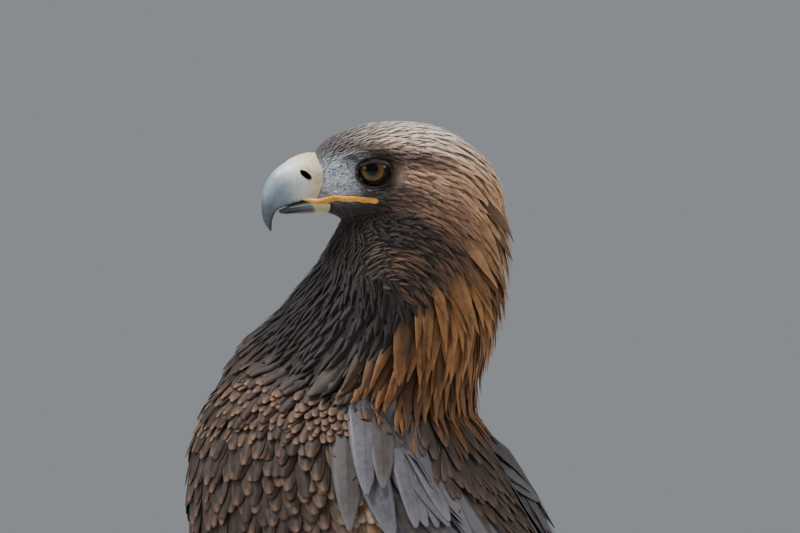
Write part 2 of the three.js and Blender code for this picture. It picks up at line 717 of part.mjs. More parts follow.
// Each toe: the way it points, its length, its thickness at the root and the end, and its claw.
const TOES = [
  { name: 'inner', degrees: 34, long: 47, root: 9.2, end: 7.4, claw: 36 },
  { name: 'middle', degrees: 2, long: 66, root: 9, end: 6.8, claw: 31 },
  { name: 'outer', degrees: -36, long: 50, root: 8.4, end: 6.3, claw: 27 },
  { name: 'hind', degrees: 172, long: 38, root: 9.4, end: 8, claw: 43 },
];
const SCUTES = 5;

function toe({ degrees, long, root, end }) {
  const heading = ahead(Math.cos(rad(degrees)), Math.sin(rad(degrees)), 0);
  const across = new THREE.Vector3(-heading.y, heading.x, 0);
  return tube(7, SCUTES * 2 - 1, (along, angle, out) => {
    const scute = Math.cos(angle) > 0 ? 0.5 * Math.cos(along * SCUTES * 2 * Math.PI) * Math.cos(angle) : 0;
    const pad = 1 + 0.1 * Math.cos(along * 3 * 2 * Math.PI);
    const thick = lerp(root, end, along) * pad + scute;
    const arch = 1.35 * Math.sin(Math.PI * Math.min(1, along * 1.3));
    const high = Math.max(0, thick * 0.86 + arch + Math.cos(angle) * thick * 1.02 * out);
    const spot = heading.clone().multiplyScalar(long * along);
    return spot.addScaledVector(across, Math.sin(angle) * thick * out).setZ(high);
  });
}

function palm() {
  const read = sampler(
    [
      { up: 0, wide: 13.5 },
      { up: 8, wide: 15.5 },
      { up: 17, wide: 14.5 },
      { up: 25.6, wide: 12.2 },
    ],
    ['up', 'wide'],
  );
  return tube(12, 4, (along, angle, out) => {
    const [up, wide] = read(along);
    return ahead(Math.cos(angle) * wide * out, Math.sin(angle) * wide * out, up);
  });
}

// A claw curves down from the end of its toe to just above the ground.
function claw({ degrees, long, end, claw: length }, grow = 0, start = 0) {
  const heading = ahead(Math.cos(rad(degrees)), Math.sin(rad(degrees)), 0);
  const across = new THREE.Vector3(-heading.y, heading.x, 0);
  const spots = [
    [-3, 0.95], [length * 0.24, 1.42], [length * 0.5, 1.22], [length * 0.68, 0.62], [length * 0.74, 0.07],
  ].map(([out, up]) => new THREE.Vector3(long + out, 0, up * end + 0.6));
  const curve = new THREE.CatmullRomCurve3(spots);
  return tube(7, 6, (along, angle, out) => {
    const spot = curve.getPoint(along);
    const lie = curve.getTangent(along);
    const thick = (end * 0.62 * (1 - along) ** 0.8 + 0.45 + grow) * out;
    const high = Math.cos(angle) * thick;
    const reach = spot.x - lie.z * high + start;
    return heading
      .clone()
      .multiplyScalar(reach)
      .addScaledVector(across, Math.sin(angle) * thick * 0.82)
      .setZ(Math.max(0.2, spot.z + lie.x * high));
  });
}

function buildFoot() {
  const claws = TOES.map((row) => claw(row));
  const nests = TOES.map((row) => claw(row, GAP, -GAP));
  const foot = largest(joined([palm(), ...TOES.map(toe)]).subtract(joined(nests)));
  return { foot, claws };
}

// Assembly

const eagle = new THREE.Group();
const head = new THREE.Group();
head.applyMatrix4(headFrame);
head.add(
  meshOf(headParts.head, 'head', materials.crown),
  meshOf(billParts.horn, 'bill_upper', materials.horn),
  meshOf(billParts.cere, 'cere', materials.cere),
  meshOf(billParts.lower, 'bill_lower', materials.horn),
  meshOf(eyeSolid(1), 'eye_left', materials.eye),
  meshOf(eyeSolid(-1), 'eye_right', materials.eye),
);
eagle.add(head);

const neck = buildNeck();
const torso = torsoTube().subtract(bodyTube(NECK_TO - 60, NECK_TO + 2 * GAP, 3, 18, 5));
eagle.add(meshOf(neck, 'neck', materials.hackle), meshOf(torso, 'torso', materials.plumage));

const leftWing = buildWing();
const rightWing = buildWing().mirror([1, 0, 0]);
eagle.add(meshOf(leftWing, 'wing_left', materials.wing), meshOf(rightWing, 'wing_right', materials.wing));
eagle.add(meshOf(buildTail(), 'tail', materials.tail));

const { foot, claws } = buildFoot();
for (const [hand, label] of [[1, 'left'], [-1, 'right']]) {
  const mirrored = (piece) => (hand < 0 ? piece.mirror([1, 0, 0]) : piece);
  const thigh = largest(limb(THIGH, 14, 11).subtract(joined([trunkAround, wingAround])));
  eagle.add(meshOf(mirrored(thigh), `thigh_${label}`, materials.plumage));
  eagle.add(meshOf(mirrored(limb(SHANK, 12, 6)), `shank_${label}`, materials.shank));
  const footGroup = new THREE.Group();
  footGroup.position.copy(ahead(FOOT_FORWARD, hand * FOOT_SPREAD, 0));
  footGroup.rotation.z = rad(hand * TOE_OUT);
  footGroup.add(meshOf(mirrored(foot), `foot_${label}`, materials.skin));
  claws.forEach((piece, i) => {
    footGroup.add(meshOf(mirrored(piece), `talon_${label}_${TOES[i].name}`, materials.claw));
  });
  eagle.add(footGroup);
}

const middle = new THREE.Box3().setFromObject(eagle).getCenter(new THREE.Vector3());
eagle.position.set(-middle.x, -middle.y, 0);

export default eagle;
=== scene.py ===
# %% [markdown]
# A golden eagle stands on pale ground with its head turned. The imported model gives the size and
# the place of every part. This file dresses it: one skin for the flesh, then feathers laid over
# it tract by tract, then the bill, the eyes and the feet. Lengths below are in millimetres, as a
# bird is measured, and only the finished meshes are in metres.

import math

import bmesh
import bpy
import numpy as np
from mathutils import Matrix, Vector
from mathutils.bvhtree import BVHTree
from mathutils.kdtree import KDTree


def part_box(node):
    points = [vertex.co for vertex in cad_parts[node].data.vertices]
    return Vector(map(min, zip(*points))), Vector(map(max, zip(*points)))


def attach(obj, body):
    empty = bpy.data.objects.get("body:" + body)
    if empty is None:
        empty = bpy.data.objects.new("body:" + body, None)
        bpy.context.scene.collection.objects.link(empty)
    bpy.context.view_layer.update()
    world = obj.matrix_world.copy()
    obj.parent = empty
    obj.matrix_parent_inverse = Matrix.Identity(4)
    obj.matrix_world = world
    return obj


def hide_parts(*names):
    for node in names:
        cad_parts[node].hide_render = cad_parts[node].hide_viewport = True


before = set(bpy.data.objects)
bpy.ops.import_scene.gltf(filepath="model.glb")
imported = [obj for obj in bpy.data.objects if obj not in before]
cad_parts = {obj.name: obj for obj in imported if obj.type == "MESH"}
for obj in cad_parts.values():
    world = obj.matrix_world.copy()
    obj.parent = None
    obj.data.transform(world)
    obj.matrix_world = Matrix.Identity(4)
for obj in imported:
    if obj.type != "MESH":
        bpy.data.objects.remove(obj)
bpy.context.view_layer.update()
MM = 0.001
SEED = 11
rng = np.random.default_rng(SEED)
HANDS = ((1, "left"), (-1, "right"))  # the sign of x on each side of the bird
print("nodes:", len(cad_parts))

# %% [markdown]
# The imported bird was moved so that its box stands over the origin. The point midway between the
# eyes is known on the drawing, so the two eye nodes tell how far everything moved.

# %% Where the drawing lies in the frame
HEAD_AT = np.array([18.6, -25.8, 617.0])  # the middle of the head frame, in the bird's drawing
HEAD_TURN = 37  # degrees
EYE = {"side": 19.2, "forward": 4.0, "radius": 9.4}


def rotation(degrees, axis):
    """The matrix of a turn about the x or the z axis."""
    s, c = math.sin(math.radians(degrees)), math.cos(math.radians(degrees))
    if axis == "x":
        return np.array([[1, 0, 0], [0, c, -s], [0, s, c]])
    return np.array([[c, -s, 0], [s, c, 0], [0, 0, 1]])


def ahead(forward, side, up):
    """A point from how far forward, to the bird's left, and up it is."""
    return np.stack(np.broadcast_arrays(side, -np.asarray(forward, float), up), -1).astype(float)


def unit(v):
    return v / np.maximum(np.linalg.norm(v, axis=-1, keepdims=True), 1e-9)


TURN = rotation(HEAD_TURN, "z")


def head_to_bird(points):
    """Turns points drawn on the head to where the head is held."""
    return points @ TURN.T + HEAD_AT


def to_head(points):
    return (points - HEAD_AT) @ TURN


def centre_of(node):
    low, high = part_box(node)
    return (np.array(low) + np.array(high)) / 2 / MM


eyes_at = (centre_of("eye_left") + centre_of("eye_right")) / 2
SHIFT = eyes_at - head_to_bird(ahead(EYE["forward"], 0, 0))


def to_frame(points):
    return (np.asarray(points) + SHIFT) * MM


def to_bird(points):
    return points / MM - SHIFT


print("moved by", SHIFT.round(2))

# %% [markdown]
# Every form is drawn as a few stations with a smooth curve through them, so a place on it can be
# read at any share of the way along.

# %% Smooth lines through stations
def curve_between(a, b, c, d, w):
    """Reads a curve through four points in a row, between the middle two."""
    leave, arrive = (c - a) / 2, (d - b) / 2
    return b + leave * w + (3 * (c - b) - 2 * leave - arrive) * w**2 + (2 * (b - c) + leave + arrive) * w**3


def smooth_rows(rows, share):
    """Reads rows of numbers at shares from 0 to 1 along a smooth curve through them."""
    place = np.clip(np.atleast_1d(np.asarray(share, float)), 0, 1) * (len(rows) - 1)
    i = np.minimum(place.astype(int), len(rows) - 2)
    ends = np.vstack([2 * rows[0] - rows[1], rows, 2 * rows[-1] - rows[-2]])
    return curve_between(ends[i], ends[i + 1], ends[i + 2], ends[i + 3], (place - i)[:, None])


def way_of(rows, share, step):
    return unit(smooth_rows(rows, share + step) - smooth_rows(rows, share - step))


def matched(*values):
    """Single numbers and rows of numbers, all at the same length."""
    return [np.ravel(v) for v in np.broadcast_arrays(*values)]


def sin_cos(degrees):
    return np.sin(np.radians(degrees)), np.cos(np.radians(degrees))


def soft_step(t):
    """0 to 1 with a slow start and a slow end."""
    t = np.clip(t, 0, 1)
    return t * t * (3 - 2 * t)


# %% [markdown]
# The body is drawn as a smooth axis from the head to the tip of the tail, with the girth at a few
# stations. A feather can then be placed by its distance along the axis and its angle from the
# middle of the back.

# %% The body's axis and girth
BODY = np.array([
    (-6, 616, 27, 34, 30), (0, 596, 39, 43, 42), (8, 573, 47, 49, 50), (19, 545, 54, 57, 54),
    (36, 518, 63, 66, 58), (47, 490, 73, 70, 79), (46, 458, 80, 74, 91), (33, 420, 84, 78, 99),
    (13, 383, 84, 78, 99), (-12, 345, 80, 77, 92), (-42, 305, 72, 71, 80), (-72, 268, 60, 60, 62),
    (-98, 235, 46, 43, 42), (-122, 207, 36, 29, 26), (-155, 176, 38, 19, 14), (-200, 134, 42, 16, 9),
    (-260, 79, 46, 14, 8), (-317, 27, 50, 13, 7),
], float)  # forward, up, and half width, depth over the back, depth over the belly
SIDEWAYS = np.array([1.0, 0, 0])
AXIS_SHARES = np.linspace(0, 1, 201)
axis_steps = np.diff(smooth_rows(BODY[:, :2], AXIS_SHARES), axis=0)
AXIS_LENGTHS = np.concatenate([[0], np.cumsum(np.linalg.norm(axis_steps, axis=1))])


def body_frame(distance):
    """The axis point, the way to the back, and the girth at each distance."""
    share = np.interp(distance, AXIS_LENGTHS, AXIS_SHARES)
    here = smooth_rows(BODY, share)
    lie = way_of(BODY[:, :2], share, 1e-4)
    return ahead(here[:, 0], 0, here[:, 1]), ahead(lie[:, 1], 0, -lie[:, 0]), *here[:, 2:].T


def body_point(distance, degrees, lift=0.0):
    """A point on the plumage by distance along the axis and degrees from the back to the left."""
    distance, degrees, lift = matched(distance, degrees, lift)
    centre, back, side, over, below = body_frame(distance)
    s, c = sin_cos(degrees)
    depth = np.where(c > 0, over, below)
    normal = unit((s / side)[:, None] * SIDEWAYS + (c / depth)[:, None] * back)
    return centre + (s * side)[:, None] * SIDEWAYS + (c * depth)[:, None] * back + lift[:, None] * normal


print("axis length", AXIS_LENGTHS[-1].round(1))

# %% [markdown]
# The head has a smooth form of its own, measured from its profile in the picture: each ring gives
# how far it lies before the eyes, its top and bottom, and its half width. The legs are drawn the
# same way, as rings down the thigh and the feathered shank.

# %% Head and legs
HEAD = np.array([
    (35, 9, -20, 11.5), (30, 15.5, -23, 14.5), (22, 21, -26, 20), (11, 25, -29, 25.5), (0, 27.3, -33, 28.5),
    (-14, 28, -41, 33), (-28, 26.5, -50, 36), (-42, 21.5, -56, 35.5), (-54, 13, -54, 30), (-65, 2.5, -44, 21),
    (-70, -12, -33, 9),
], float)  # forward, top, bottom, half width
HEAD_FULLNESS = 0.88  # below 1, the rings are fuller than an ellipse
THIGH = np.array([
    (42, 34, 345, 14, 16), (43, 42, 320, 28, 34), (40, 48, 293, 34, 43), (33, 52, 262, 35, 44),
    (24, 57, 226, 31, 40), (12, 60, 188, 26, 33), (0, 60, 152, 21, 26), (-8, 59, 122, 16.5, 19.5),
], float)  # forward, side, up, half width, half depth
SHANK = np.array([
    (-8, 59, 122, 16.5, 19.5), (-8, 58.5, 98, 13.5, 16), (-4, 57.5, 66, 12.5, 14), (0, 56.5, 38, 12.5, 13.5),
    (2, 56, 26, 12, 13),
], float)


def head_point(share, degrees, lift=0.0):
    share, degrees, lift = matched(share, degrees, lift)
    forward, top, bottom, side = smooth_rows(HEAD, share).T
    s, c = (np.sign(v) * np.abs(v) ** HEAD_FULLNESS for v in sin_cos(degrees))
    up = (top + bottom) / 2 + ((top - bottom) / 2 + lift) * c
    return head_to_bird(ahead(forward, (side + lift) * s, up))


def limb_point(rows, hand, share, degrees, lift=0.0):
    """A point on a leg: 0 degrees is the front and 90 the outer side."""
    share, degrees, lift = matched(share, degrees, lift)
    forward, side, up, across, deep = smooth_rows(rows, share).T
    s, c = sin_cos(degrees)
    return ahead(forward + c * (deep + lift), hand * (side + s * (across + lift)), up)


# %% [markdown]
# The folded arm lies along each flank under its coverts. Its two edges run down the body, and it
# stands off the plumage a little more than a finger's width at the wrist.

# %% The folded arm
ARM = np.array([
    (128, 62, 122, 2), (148, 50, 144, 10), (180, 42, 152, 14), (230, 38, 150, 15), (290, 35, 136, 13),
    (350, 33, 114, 10), (410, 31, 98, 7.5), (470, 32, 82, 4.5), (515, 36, 70, 2),
], float)  # distance, upper and lower edge in degrees, height
ARM_DEPTH = 2.0  # how far the arm's skin lies inside its coverts
ARM_ROOT = -6  # how deep in the body its inner side lies


def arm_point(share, degrees, hand):
    share, degrees = matched(share, degrees)
    at, upper, lower, thick = smooth_rows(ARM, share).T
    s, c = sin_cos(degrees)
    height = np.where(c > 0, np.maximum(thick - ARM_DEPTH, 0.5) * np.abs(c) ** 0.6, ARM_ROOT)
    return body_point(at, hand * ((upper + lower) / 2 + s * (lower - upper) / 2), height)


# %% [markdown]
# The skin is one surface for head, neck, body, arms and legs, so that no seam shows where they
# meet. It could be modelled ring by ring with branches for the limbs. It is simpler to loft each
# part as a tube, a little inside the plumage, and let a voxel remesh melt them into one, which
# also rounds the hollows between them as real skin and down do.

# %% Mesh helpers
def bridge(bm, rings, closed=False):
    """A tube through rings of points, capped at both ends or closed onto itself."""
    first = last = None
    for ring in rings:
        verts = [bm.verts.new(p) for p in to_frame(ring)]
        edges = [bm.edges.new(pair) for pair in zip(verts, verts[1:] + verts[:1])]
        if last:
            bmesh.ops.bridge_loops(bm, edges=last + edges)
        elif not closed:
            bmesh.ops.contextual_create(bm, geom=edges)
        first, last = first or edges, edges
    if closed:
        bmesh.ops.bridge_loops(bm, edges=last + first)
    else:
        bmesh.ops.contextual_create(bm, geom=last)


def loft(bm, point_at, sides, steps):
    """A capped tube whose rings are set by a surface function of share and degrees."""
    turns = np.arange(sides) * 360 / sides
    bridge(bm, [point_at(k / steps, turns) for k in range(steps + 1)])


def head_ball(bm, hand, around, rows, place):
    """A ball whose points go where a function puts them on the head."""
    ball = bmesh.ops.create_uvsphere(bm, u_segments=around, v_segments=rows, radius=1)["verts"]
    spots = place(np.array([v.co[:] for v in ball]), hand)
    for vert, spot in zip(ball, to_frame(head_to_bird(spots))):
        vert.co = spot


def show(name, data):
    """Puts a mesh, a light or a camera in the scene."""
    made = bpy.data.objects.new(name, data)
    bpy.context.collection.objects.link(made)
    return made


def new_object(name, bm):
    bmesh.ops.recalc_face_normals(bm, faces=bm.faces)
    mesh = bpy.data.meshes.new(name)
    bm.to_mesh(mesh)
    bm.free()
    mesh.polygons.foreach_set("use_smooth", [True] * len(mesh.polygons))
    return show(name, mesh)


def apply_modifiers(made):
    graph = bpy.context.evaluated_depsgraph_get()
    mesh = bpy.data.meshes.new_from_object(made.evaluated_get(graph))
    old, made.data = made.data, mesh
    made.modifiers.clear()
    bpy.data.meshes.remove(old)
    mesh.name = made.name


def melt(made, voxel, rounds):
    """Melts the tubes of a mesh into one surface and eases its steps."""
    remesh = made.modifiers.new("melt", "REMESH")
    remesh.mode = "VOXEL"
    remesh.voxel_size = voxel
    ease = made.modifiers.new("ease", "SMOOTH")
    ease.factor = 0.5
    ease.iterations = rounds
    apply_modifiers(made)
    made.data.polygons.foreach_set("use_smooth", [True] * len(made.data.polygons))


def mesh_arrays(mesh):
    """The places and normals of a mesh's points."""
    arrays = np.empty((2, len(mesh.vertices) * 3))
    for name, array in zip(("co", "normal"), arrays):
        mesh.vertices.foreach_get(name, array)
    return arrays.reshape(2, -1, 3)


# %% [markdown]
# The brow is a bony shelf over the eye and gives the bird its stern look. It goes into the skin as
# a flattened ball on each side before everything is melted together.

# %% Skin
BODY_DEPTH, HEAD_DEPTH, SHANK_DEPTH = 4.0, 1.5, 2.4  # from the plumage down to the skin
SKIN_LENGTH = 520  # along the axis, to the root of the tail
VOXEL = 0.0024
BROW = {
    "forward": 9.0, "side": 24.0, "up": 8.8, "long": 20, "wide": 8.2, "high": 3.2, "tilt": 11, "splay": 14,
}


def brow_place(spots, hand):
    spots = spots * (BROW["wide"], BROW["long"], BROW["high"])
    spots = spots @ rotation(BROW["tilt"], "x").T @ rotation(hand * BROW["splay"], "z").T
    return spots + ahead(BROW["forward"], hand * BROW["side"], BROW["up"])


bm = bmesh.new()
loft(bm, lambda t, a: body_point(t * SKIN_LENGTH, a, -BODY_DEPTH), 48, 70)
loft(bm, lambda t, a: head_point(t, a, -HEAD_DEPTH), 40, 40)
for hand in (1, -1):
    head_ball(bm, hand, 24, 16, brow_place)
    loft(bm, lambda t, a: limb_point(THIGH, hand, t, a, -BODY_DEPTH), 28, 26)
    loft(bm, lambda t, a: limb_point(SHANK, hand, t, a, -SHANK_DEPTH), 20, 16)
    loft(bm, lambda t, a: arm_point(t, a, hand), 24, 40)
skin = new_object("skin", bm)
melt(skin, VOXEL, 4)
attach(skin, "root")
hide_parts("head", "neck", "torso", "thigh_left", "thigh_right", "shank_left", "shank_right")
print("skin faces", len(skin.data.polygons))

# %% [markdown]
# The eye of an eagle is almost as large as ours and is sunk under the brow. The skin is drawn in
# round each eye to the depth where the lids touch the eyeball, so the lids close the gap.

# %% Eye sockets in the skin
OPENING = {"forward": 5.0, "up": -1.5, "long": 10.4, "high": 8.4}
LID_GAP = 0.5  # the lids lie this far off the eyeball
SOCKET_END, SOCKET_FADE = 1.7, 0.9  # how far out, in shares of the opening, the skin is drawn in


def eye_share(local):
    """How far out of the eye's opening a point on the head is: 1 is on its edge."""
    along = (-local[..., 1] - OPENING["forward"]) / OPENING["long"]
    return np.hypot(along, (local[..., 2] - OPENING["up"]) / OPENING["high"])


def over_eye(local, radius, least):
    """The side at which a ball round the eye's middle is met at a point on the head."""
    forward, up = -local[..., 1] - EYE["forward"], local[..., 2]
    return EYE["side"] + np.sqrt(np.maximum(radius**2 - forward**2 - up**2, least**2))


local = to_head(to_bird(mesh_arrays(skin.data)[0]))
share, rest = eye_share(local), np.abs(local[:, 0])
near = (share < SOCKET_END) & (rest > 8)
behind_eye = over_eye(local, EYE["radius"], 1.0) - 2.6
under_lid = over_eye(local, EYE["radius"] + LID_GAP, 4.5) - 0.6
goal = np.where(share < 0.85, behind_eye, under_lid)
hold = soft_step((SOCKET_END - share) / SOCKET_FADE)
drawn = np.where(near, np.minimum(rest, rest + (goal - rest) * hold), rest)
local[:, 0] = np.sign(local[:, 0]) * drawn
skin.data.vertices.foreach_set("co", to_frame(head_to_bird(local)).ravel())
skin.data.update()
print("drawn in round the eyes:", int(near.sum()))

# %% What the feathers grow from
skin_spots, skin_normals = mesh_arrays(skin.data)
skin_places = to_bird(skin_spots)
skin_corners = np.array([tuple(face.vertices) for face in skin.data.polygons])
corner_normals = skin_normals[skin_corners].mean(1)
skin_tree = BVHTree.FromPolygons(skin_spots.tolist(), skin_corners.tolist())


def settle(points):
    """Drops points onto the skin and gives the way out of it at each."""
    places, outs = np.empty_like(points), np.empty_like(points)
    for i, spot in enumerate(to_frame(points)):
        hit, _, face, _ = skin_tree.find_nearest(spot.tolist())
        places[i], outs[i] = hit, corner_normals[face]
    return to_bird(places), unit(outs)


def tree_of_points(points):
    tree = KDTree(len(points))
    for i, point in enumerate(points):
        tree.insert(point, i)
    tree.balance()
    return tree


def thin_out(points, spacing):
    """Keeps a random, even scatter in which no two points are nearer than the spacing there."""
    tree = tree_of_points(points)
    open_spots = np.ones(len(points), bool)
    kept = []
    for i in range(len(points)):
        if open_spots[i]:
            kept.append(i)
            for _, j, _ in tree.find_range(points[i], float(spacing[i])):
                open_spots[j] = False
    return points[kept]


def scatter(faces, count):
    """Random points on the skin's faces of a region."""
    chosen = rng.choice(np.flatnonzero(faces), count)
    a, b, c, d = (skin_places[skin_corners[chosen, k]] for k in range(4))
    u, v = rng.uniform(size=(2, count, 1))
    return (a * (1 - u) + b * u) * (1 - v) + (d * (1 - u) + c * u) * v


# %% [markdown]
# A contour feather is a thin, slightly cupped vane that is widest past its middle. Modelling each
# by hand would take for ever, so one vane is made from a flattened ball, whose two poles are the
# root and the tip, and its copies are bent along the skin. Each copy walks over the skin from its
# root in the way the coat lies there, so it hugs whatever it covers.

# %% One vane
def vane_pattern(around, rows):
    """A ball's points as places along and across a vane and up its thickness, with its faces."""
    bm = bmesh.new()
    bmesh.ops.create_uvsphere(bm, u_segments=around, v_segments=rows, radius=1)
    spots = np.array([v.co[:] for v in bm.verts])
    faces = [[v.index for v in f.verts] for f in bm.faces]
    bm.free()
    wide = np.hypot(spots[:, 0], spots[:, 1])
    across, height = np.where(wide > 1e-4, spots[:, :2].T / np.maximum(wide, 1e-6), 0)
    return {"along": (1 - spots[:, 2]) / 2, "across": across, "height": height, "faces": faces}


SMALL_VANE = vane_pattern(4, 5)
MIDDLE_VANE = vane_pattern(6, 7)
BROAD_VANE = vane_pattern(8, 9)
LARGE_VANE = vane_pattern(8, 16)


def round_end(t, start):
    return np.sqrt(np.clip(1 - (np.maximum(0, t - start) / (1 - start)) ** 2, 0, 1))


OUTLINES = {
    "round": lambda t: np.minimum(1, 0.6 + 1.1 * t) * round_end(t, 0.62),
    "oval": lambda t: np.minimum(1, 0.6 + 1.3 * t) * (1 - np.clip((t - 0.4) / 0.6, 0, 1) ** 2) ** 0.8,
    "pointed": lambda t: np.minimum(1, 0.55 + 1.5 * t) * (1 - np.clip((t - 0.35) / 0.65, 0, 1) ** 1.5),
    "flight": lambda t: (1 - 0.2 * t) * round_end(t, 0.88),
}

# %% How copies of the vane are laid
def jitter(count, size):
    return rng.uniform(-size, size, count)


def on_skin(ways, outs):
    return unit(ways - (ways * outs).sum(-1)[..., None] * outs)


def walk(roots, ways, lengths, steps):
    """Walks over the skin from each root and keeps the place, the way on and the way out."""
    places, outs = settle(roots)
    ways = on_skin(ways, outs)
    kept = [(places, ways, outs)]
    for _ in range(steps):
        places, fresh = settle(places + ways * (lengths / steps)[:, None])
        outs = unit(outs * 0.5 + fresh)
        ways = on_skin(ways, outs)
        kept.append((places, ways, outs))
    return [np.stack(row, 1) for row in zip(*kept)]


def read_along(rows, shares):
    """Reads walked rows (feather, step, xyz) at the same shares for every feather."""
    last = rows.shape[1] - 1
    place = np.clip(shares, 0, 1) * last
    i = np.minimum(place.astype(int), last - 1)
    four = (rows[:, j] for j in (np.maximum(i - 1, 0), i, i + 1, np.minimum(i + 2, last)))
    return curve_between(*four, (place - i)[None, :, None])


def vanes(path, pattern, outline, half, thick, low, high, tilt, cup, sway):
    """Points of all copies. half, high, tilt and sway have one value for each feather."""
    along, across = pattern["along"], pattern["across"]
    places, ways, outs = (read_along(rows, along) for rows in path)
    outs, ways = unit(outs), unit(ways)
    offset = across * half[:, None] * OUTLINES[outline](along)
    bend = sway[:, None] * half[:, None] * along**2
    up = low + (high[:, None] - low) * along**1.3
    up = up + tilt[:, None] * offset - offset**2 / (2 * cup)
    up = up + pattern["height"] * thick / 2 * (1 - 0.75 * along)
    return places + np.cross(outs, ways) * (offset + bend)[..., None] + outs * up[..., None]


def lay(roots, ways, unwrap, tint, edge, *, length, half, outline="round", pattern=MIDDLE_VANE, low=-1.0,
        high=3.0, thick=0.5, cup=60.0, stray=0.1, tilt=0.05, sway=0.2, steps=5, spread=0.1):
    """A batch of feathers from their roots and the way each lies. Sizes are single or one per feather."""
    count = len(roots)
    lengths = length * (1 + jitter(count, spread))
    halves = half * (1 + jitter(count, spread * 0.7))
    aside = np.cross(settle(roots)[1], unit(ways))
    ways = unit(ways) + aside * jitter(count, stray)[:, None]
    path = walk(roots, ways, lengths, steps)
    rise = high * (1 + jitter(count, 0.25))
    points = vanes(path, pattern, outline, halves, thick, low, rise, jitter(count, tilt), cup,
                   jitter(count, sway))
    return {"pattern": pattern, "points": points, "unwrap": unwrap, "tint": tint, "edge": edge}


# %% [markdown]
# Thousands of feathers would be far too many objects, so the feathers of a tract are joined into
# one mesh. Each feather keeps two maps: one that runs along and across the vane, for its barbs and
# shaft, and one that has a small patch where its root lies on the unwrapped skin.

# %% One coat piece
PATCH = 0.0015  # half of the patch that one feather has on the unwrapped skin
coat_roots = []  # each batch's roots and colours
coat_triangles = []


def turned_out(faces, points):
    """Reverses the faces if the feathers' volume comes out negative: then they point inwards."""
    triangles = np.array([(f[0], f[k], f[k + 1]) for f in faces for k in range(1, len(f) - 1)])
    a, b, c = (points[:, triangles[:, k]] - points.mean(1, keepdims=True) for k in range(3))
    return faces if (a * np.cross(b, c)).sum() > 0 else [f[::-1] for f in faces]


def keep_colours(mesh, name, colours):
    full = np.hstack([np.clip(colours, 0, 1), np.ones((len(colours), 1))])
    mesh.color_attributes.new(name, "FLOAT_COLOR", "POINT").data.foreach_set("color", full.ravel())


def coat(name, batches, paint, replaces=()):
    """One object from batches of copies, with the maps and colours that its material reads."""
    spots, faces = [], []
    maps, colours = {"vane": [], "OFBake": []}, {"tint": [], "edge": []}
    start = 0
    for batch in batches:
        pattern, points = batch["pattern"], batch["points"]
        count, per = points.shape[:2]
        spots.append(points.reshape(-1, 3))
        outward = turned_out(pattern["faces"], points)
        for corners in (3, 4):
            group = np.array([f for f in outward if len(f) == corners])
            faces.append((start + np.arange(count)[:, None, None] * per + group[None]).reshape(-1, corners))
        uv = np.stack([0.5 + pattern["across"] / 2, pattern["along"]], -1)
        maps["vane"].append(np.tile(uv, (count, 1)))
        maps["OFBake"].append((batch["unwrap"][:, None, :] + (uv - 0.5)[None] * 2 * PATCH).reshape(-1, 2))
        for label, values in colours.items():
            values.append(np.repeat(batch[label], per, 0))
        coat_roots.append((points[:, 0], batch["tint"]))
        start += count * per
    spots = to_frame(np.concatenate(spots))
    loops = np.concatenate([f.ravel() for f in faces])
    sizes = np.concatenate([np.full(len(f), f.shape[1]) for f in faces])
    mesh = bpy.data.meshes.new(name)
    mesh.vertices.add(len(spots))
    mesh.vertices.foreach_set("co", spots.ravel())
    mesh.loops.add(len(loops))
    mesh.loops.foreach_set("vertex_index", loops)
    mesh.polygons.add(len(sizes))
    mesh.polygons.foreach_set("loop_start", np.concatenate([[0], np.cumsum(sizes)[:-1]]))
    mesh.polygons.foreach_set("use_smooth", np.ones(len(sizes), bool))
    for label, values in maps.items():
        mesh.uv_layers.new(name=label).uv.foreach_set("vector", np.concatenate(values)[loops].ravel())
    for label, values in colours.items():
        keep_colours(mesh, label, np.concatenate(values))
    mesh.update(calc_edges=True)
    made = show(name, mesh)
    mesh.materials.append(paint)
    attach(made, "root")
    if replaces:
        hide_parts(*replaces)
    coat_triangles.append(int((sizes - 2).sum()))
    print(name, "feathers", sum(len(b["points"]) for b in batches), "triangles", coat_triangles[-1])


# %% Spots on the body and the way the coat lies there
FLOW_CENTRE = (10.0, -75.0)  # on the head, the coat runs round this point before and below it
HEAD_FLOW_END, HEAD_FLOW_FADE = 70, 45  # along the axis, where the flow of the head ends


def body_rows(start, end, step, low, high, spacing, hands=(1, -1)):
    """Staggered spots on the body between two distances and two angles from the back."""
    spots = []
    for k, at in enumerate(np.arange(start, end, step)):
        _, _, side, over, below = body_frame(at)
        turn = math.degrees(spacing / ((side[0] + (over[0] + below[0]) / 2) / 2))
        for hand in hands:
            spots += [(at, hand * d) for d in np.arange(low + (k % 2) * turn / 2, high, turn)]
    spots = np.array(spots)
    spots[:, 0] += jitter(len(spots), step * 0.3)
    spots[:, 1] += jitter(len(spots), 1.5)
    return spots


def head_ways(points):
    local = to_head(points)
    backward, above = FLOW_CENTRE[0] + local[:, 1], local[:, 2] - FLOW_CENTRE[1]
    return unit(np.stack([np.zeros(len(local)), above, -backward], -1)) @ TURN.T


def along_body(spots, sideways=0.0):
    """The way towards the tail at each spot, turned towards the back by a share."""
    at, degrees = spots.T
    here = body_point(at, degrees)
    forth = unit(body_point(at + 3, degrees) - body_point(at - 3, degrees))
    drop = unit(body_frame(at + 3)[0] - body_frame(at - 3)[0])
    forth = unit(forth + drop * 0.6)
    turn = np.cross(forth, unit(here - body_frame(at)[0])) * -np.sign(degrees)[:, None]
    forth = unit(forth + turn * sideways)
    held = np.clip((HEAD_FLOW_END - at) / HEAD_FLOW_FADE, 0, 1)[:, None]
    return unit(forth * (1 - held) + head_ways(here) * held)


def unwrap_body(spots):
    return np.stack([0.25 + spots[:, 1] / 360 * 0.46, 0.02 + 0.96 * spots[:, 0] / 740], -1)
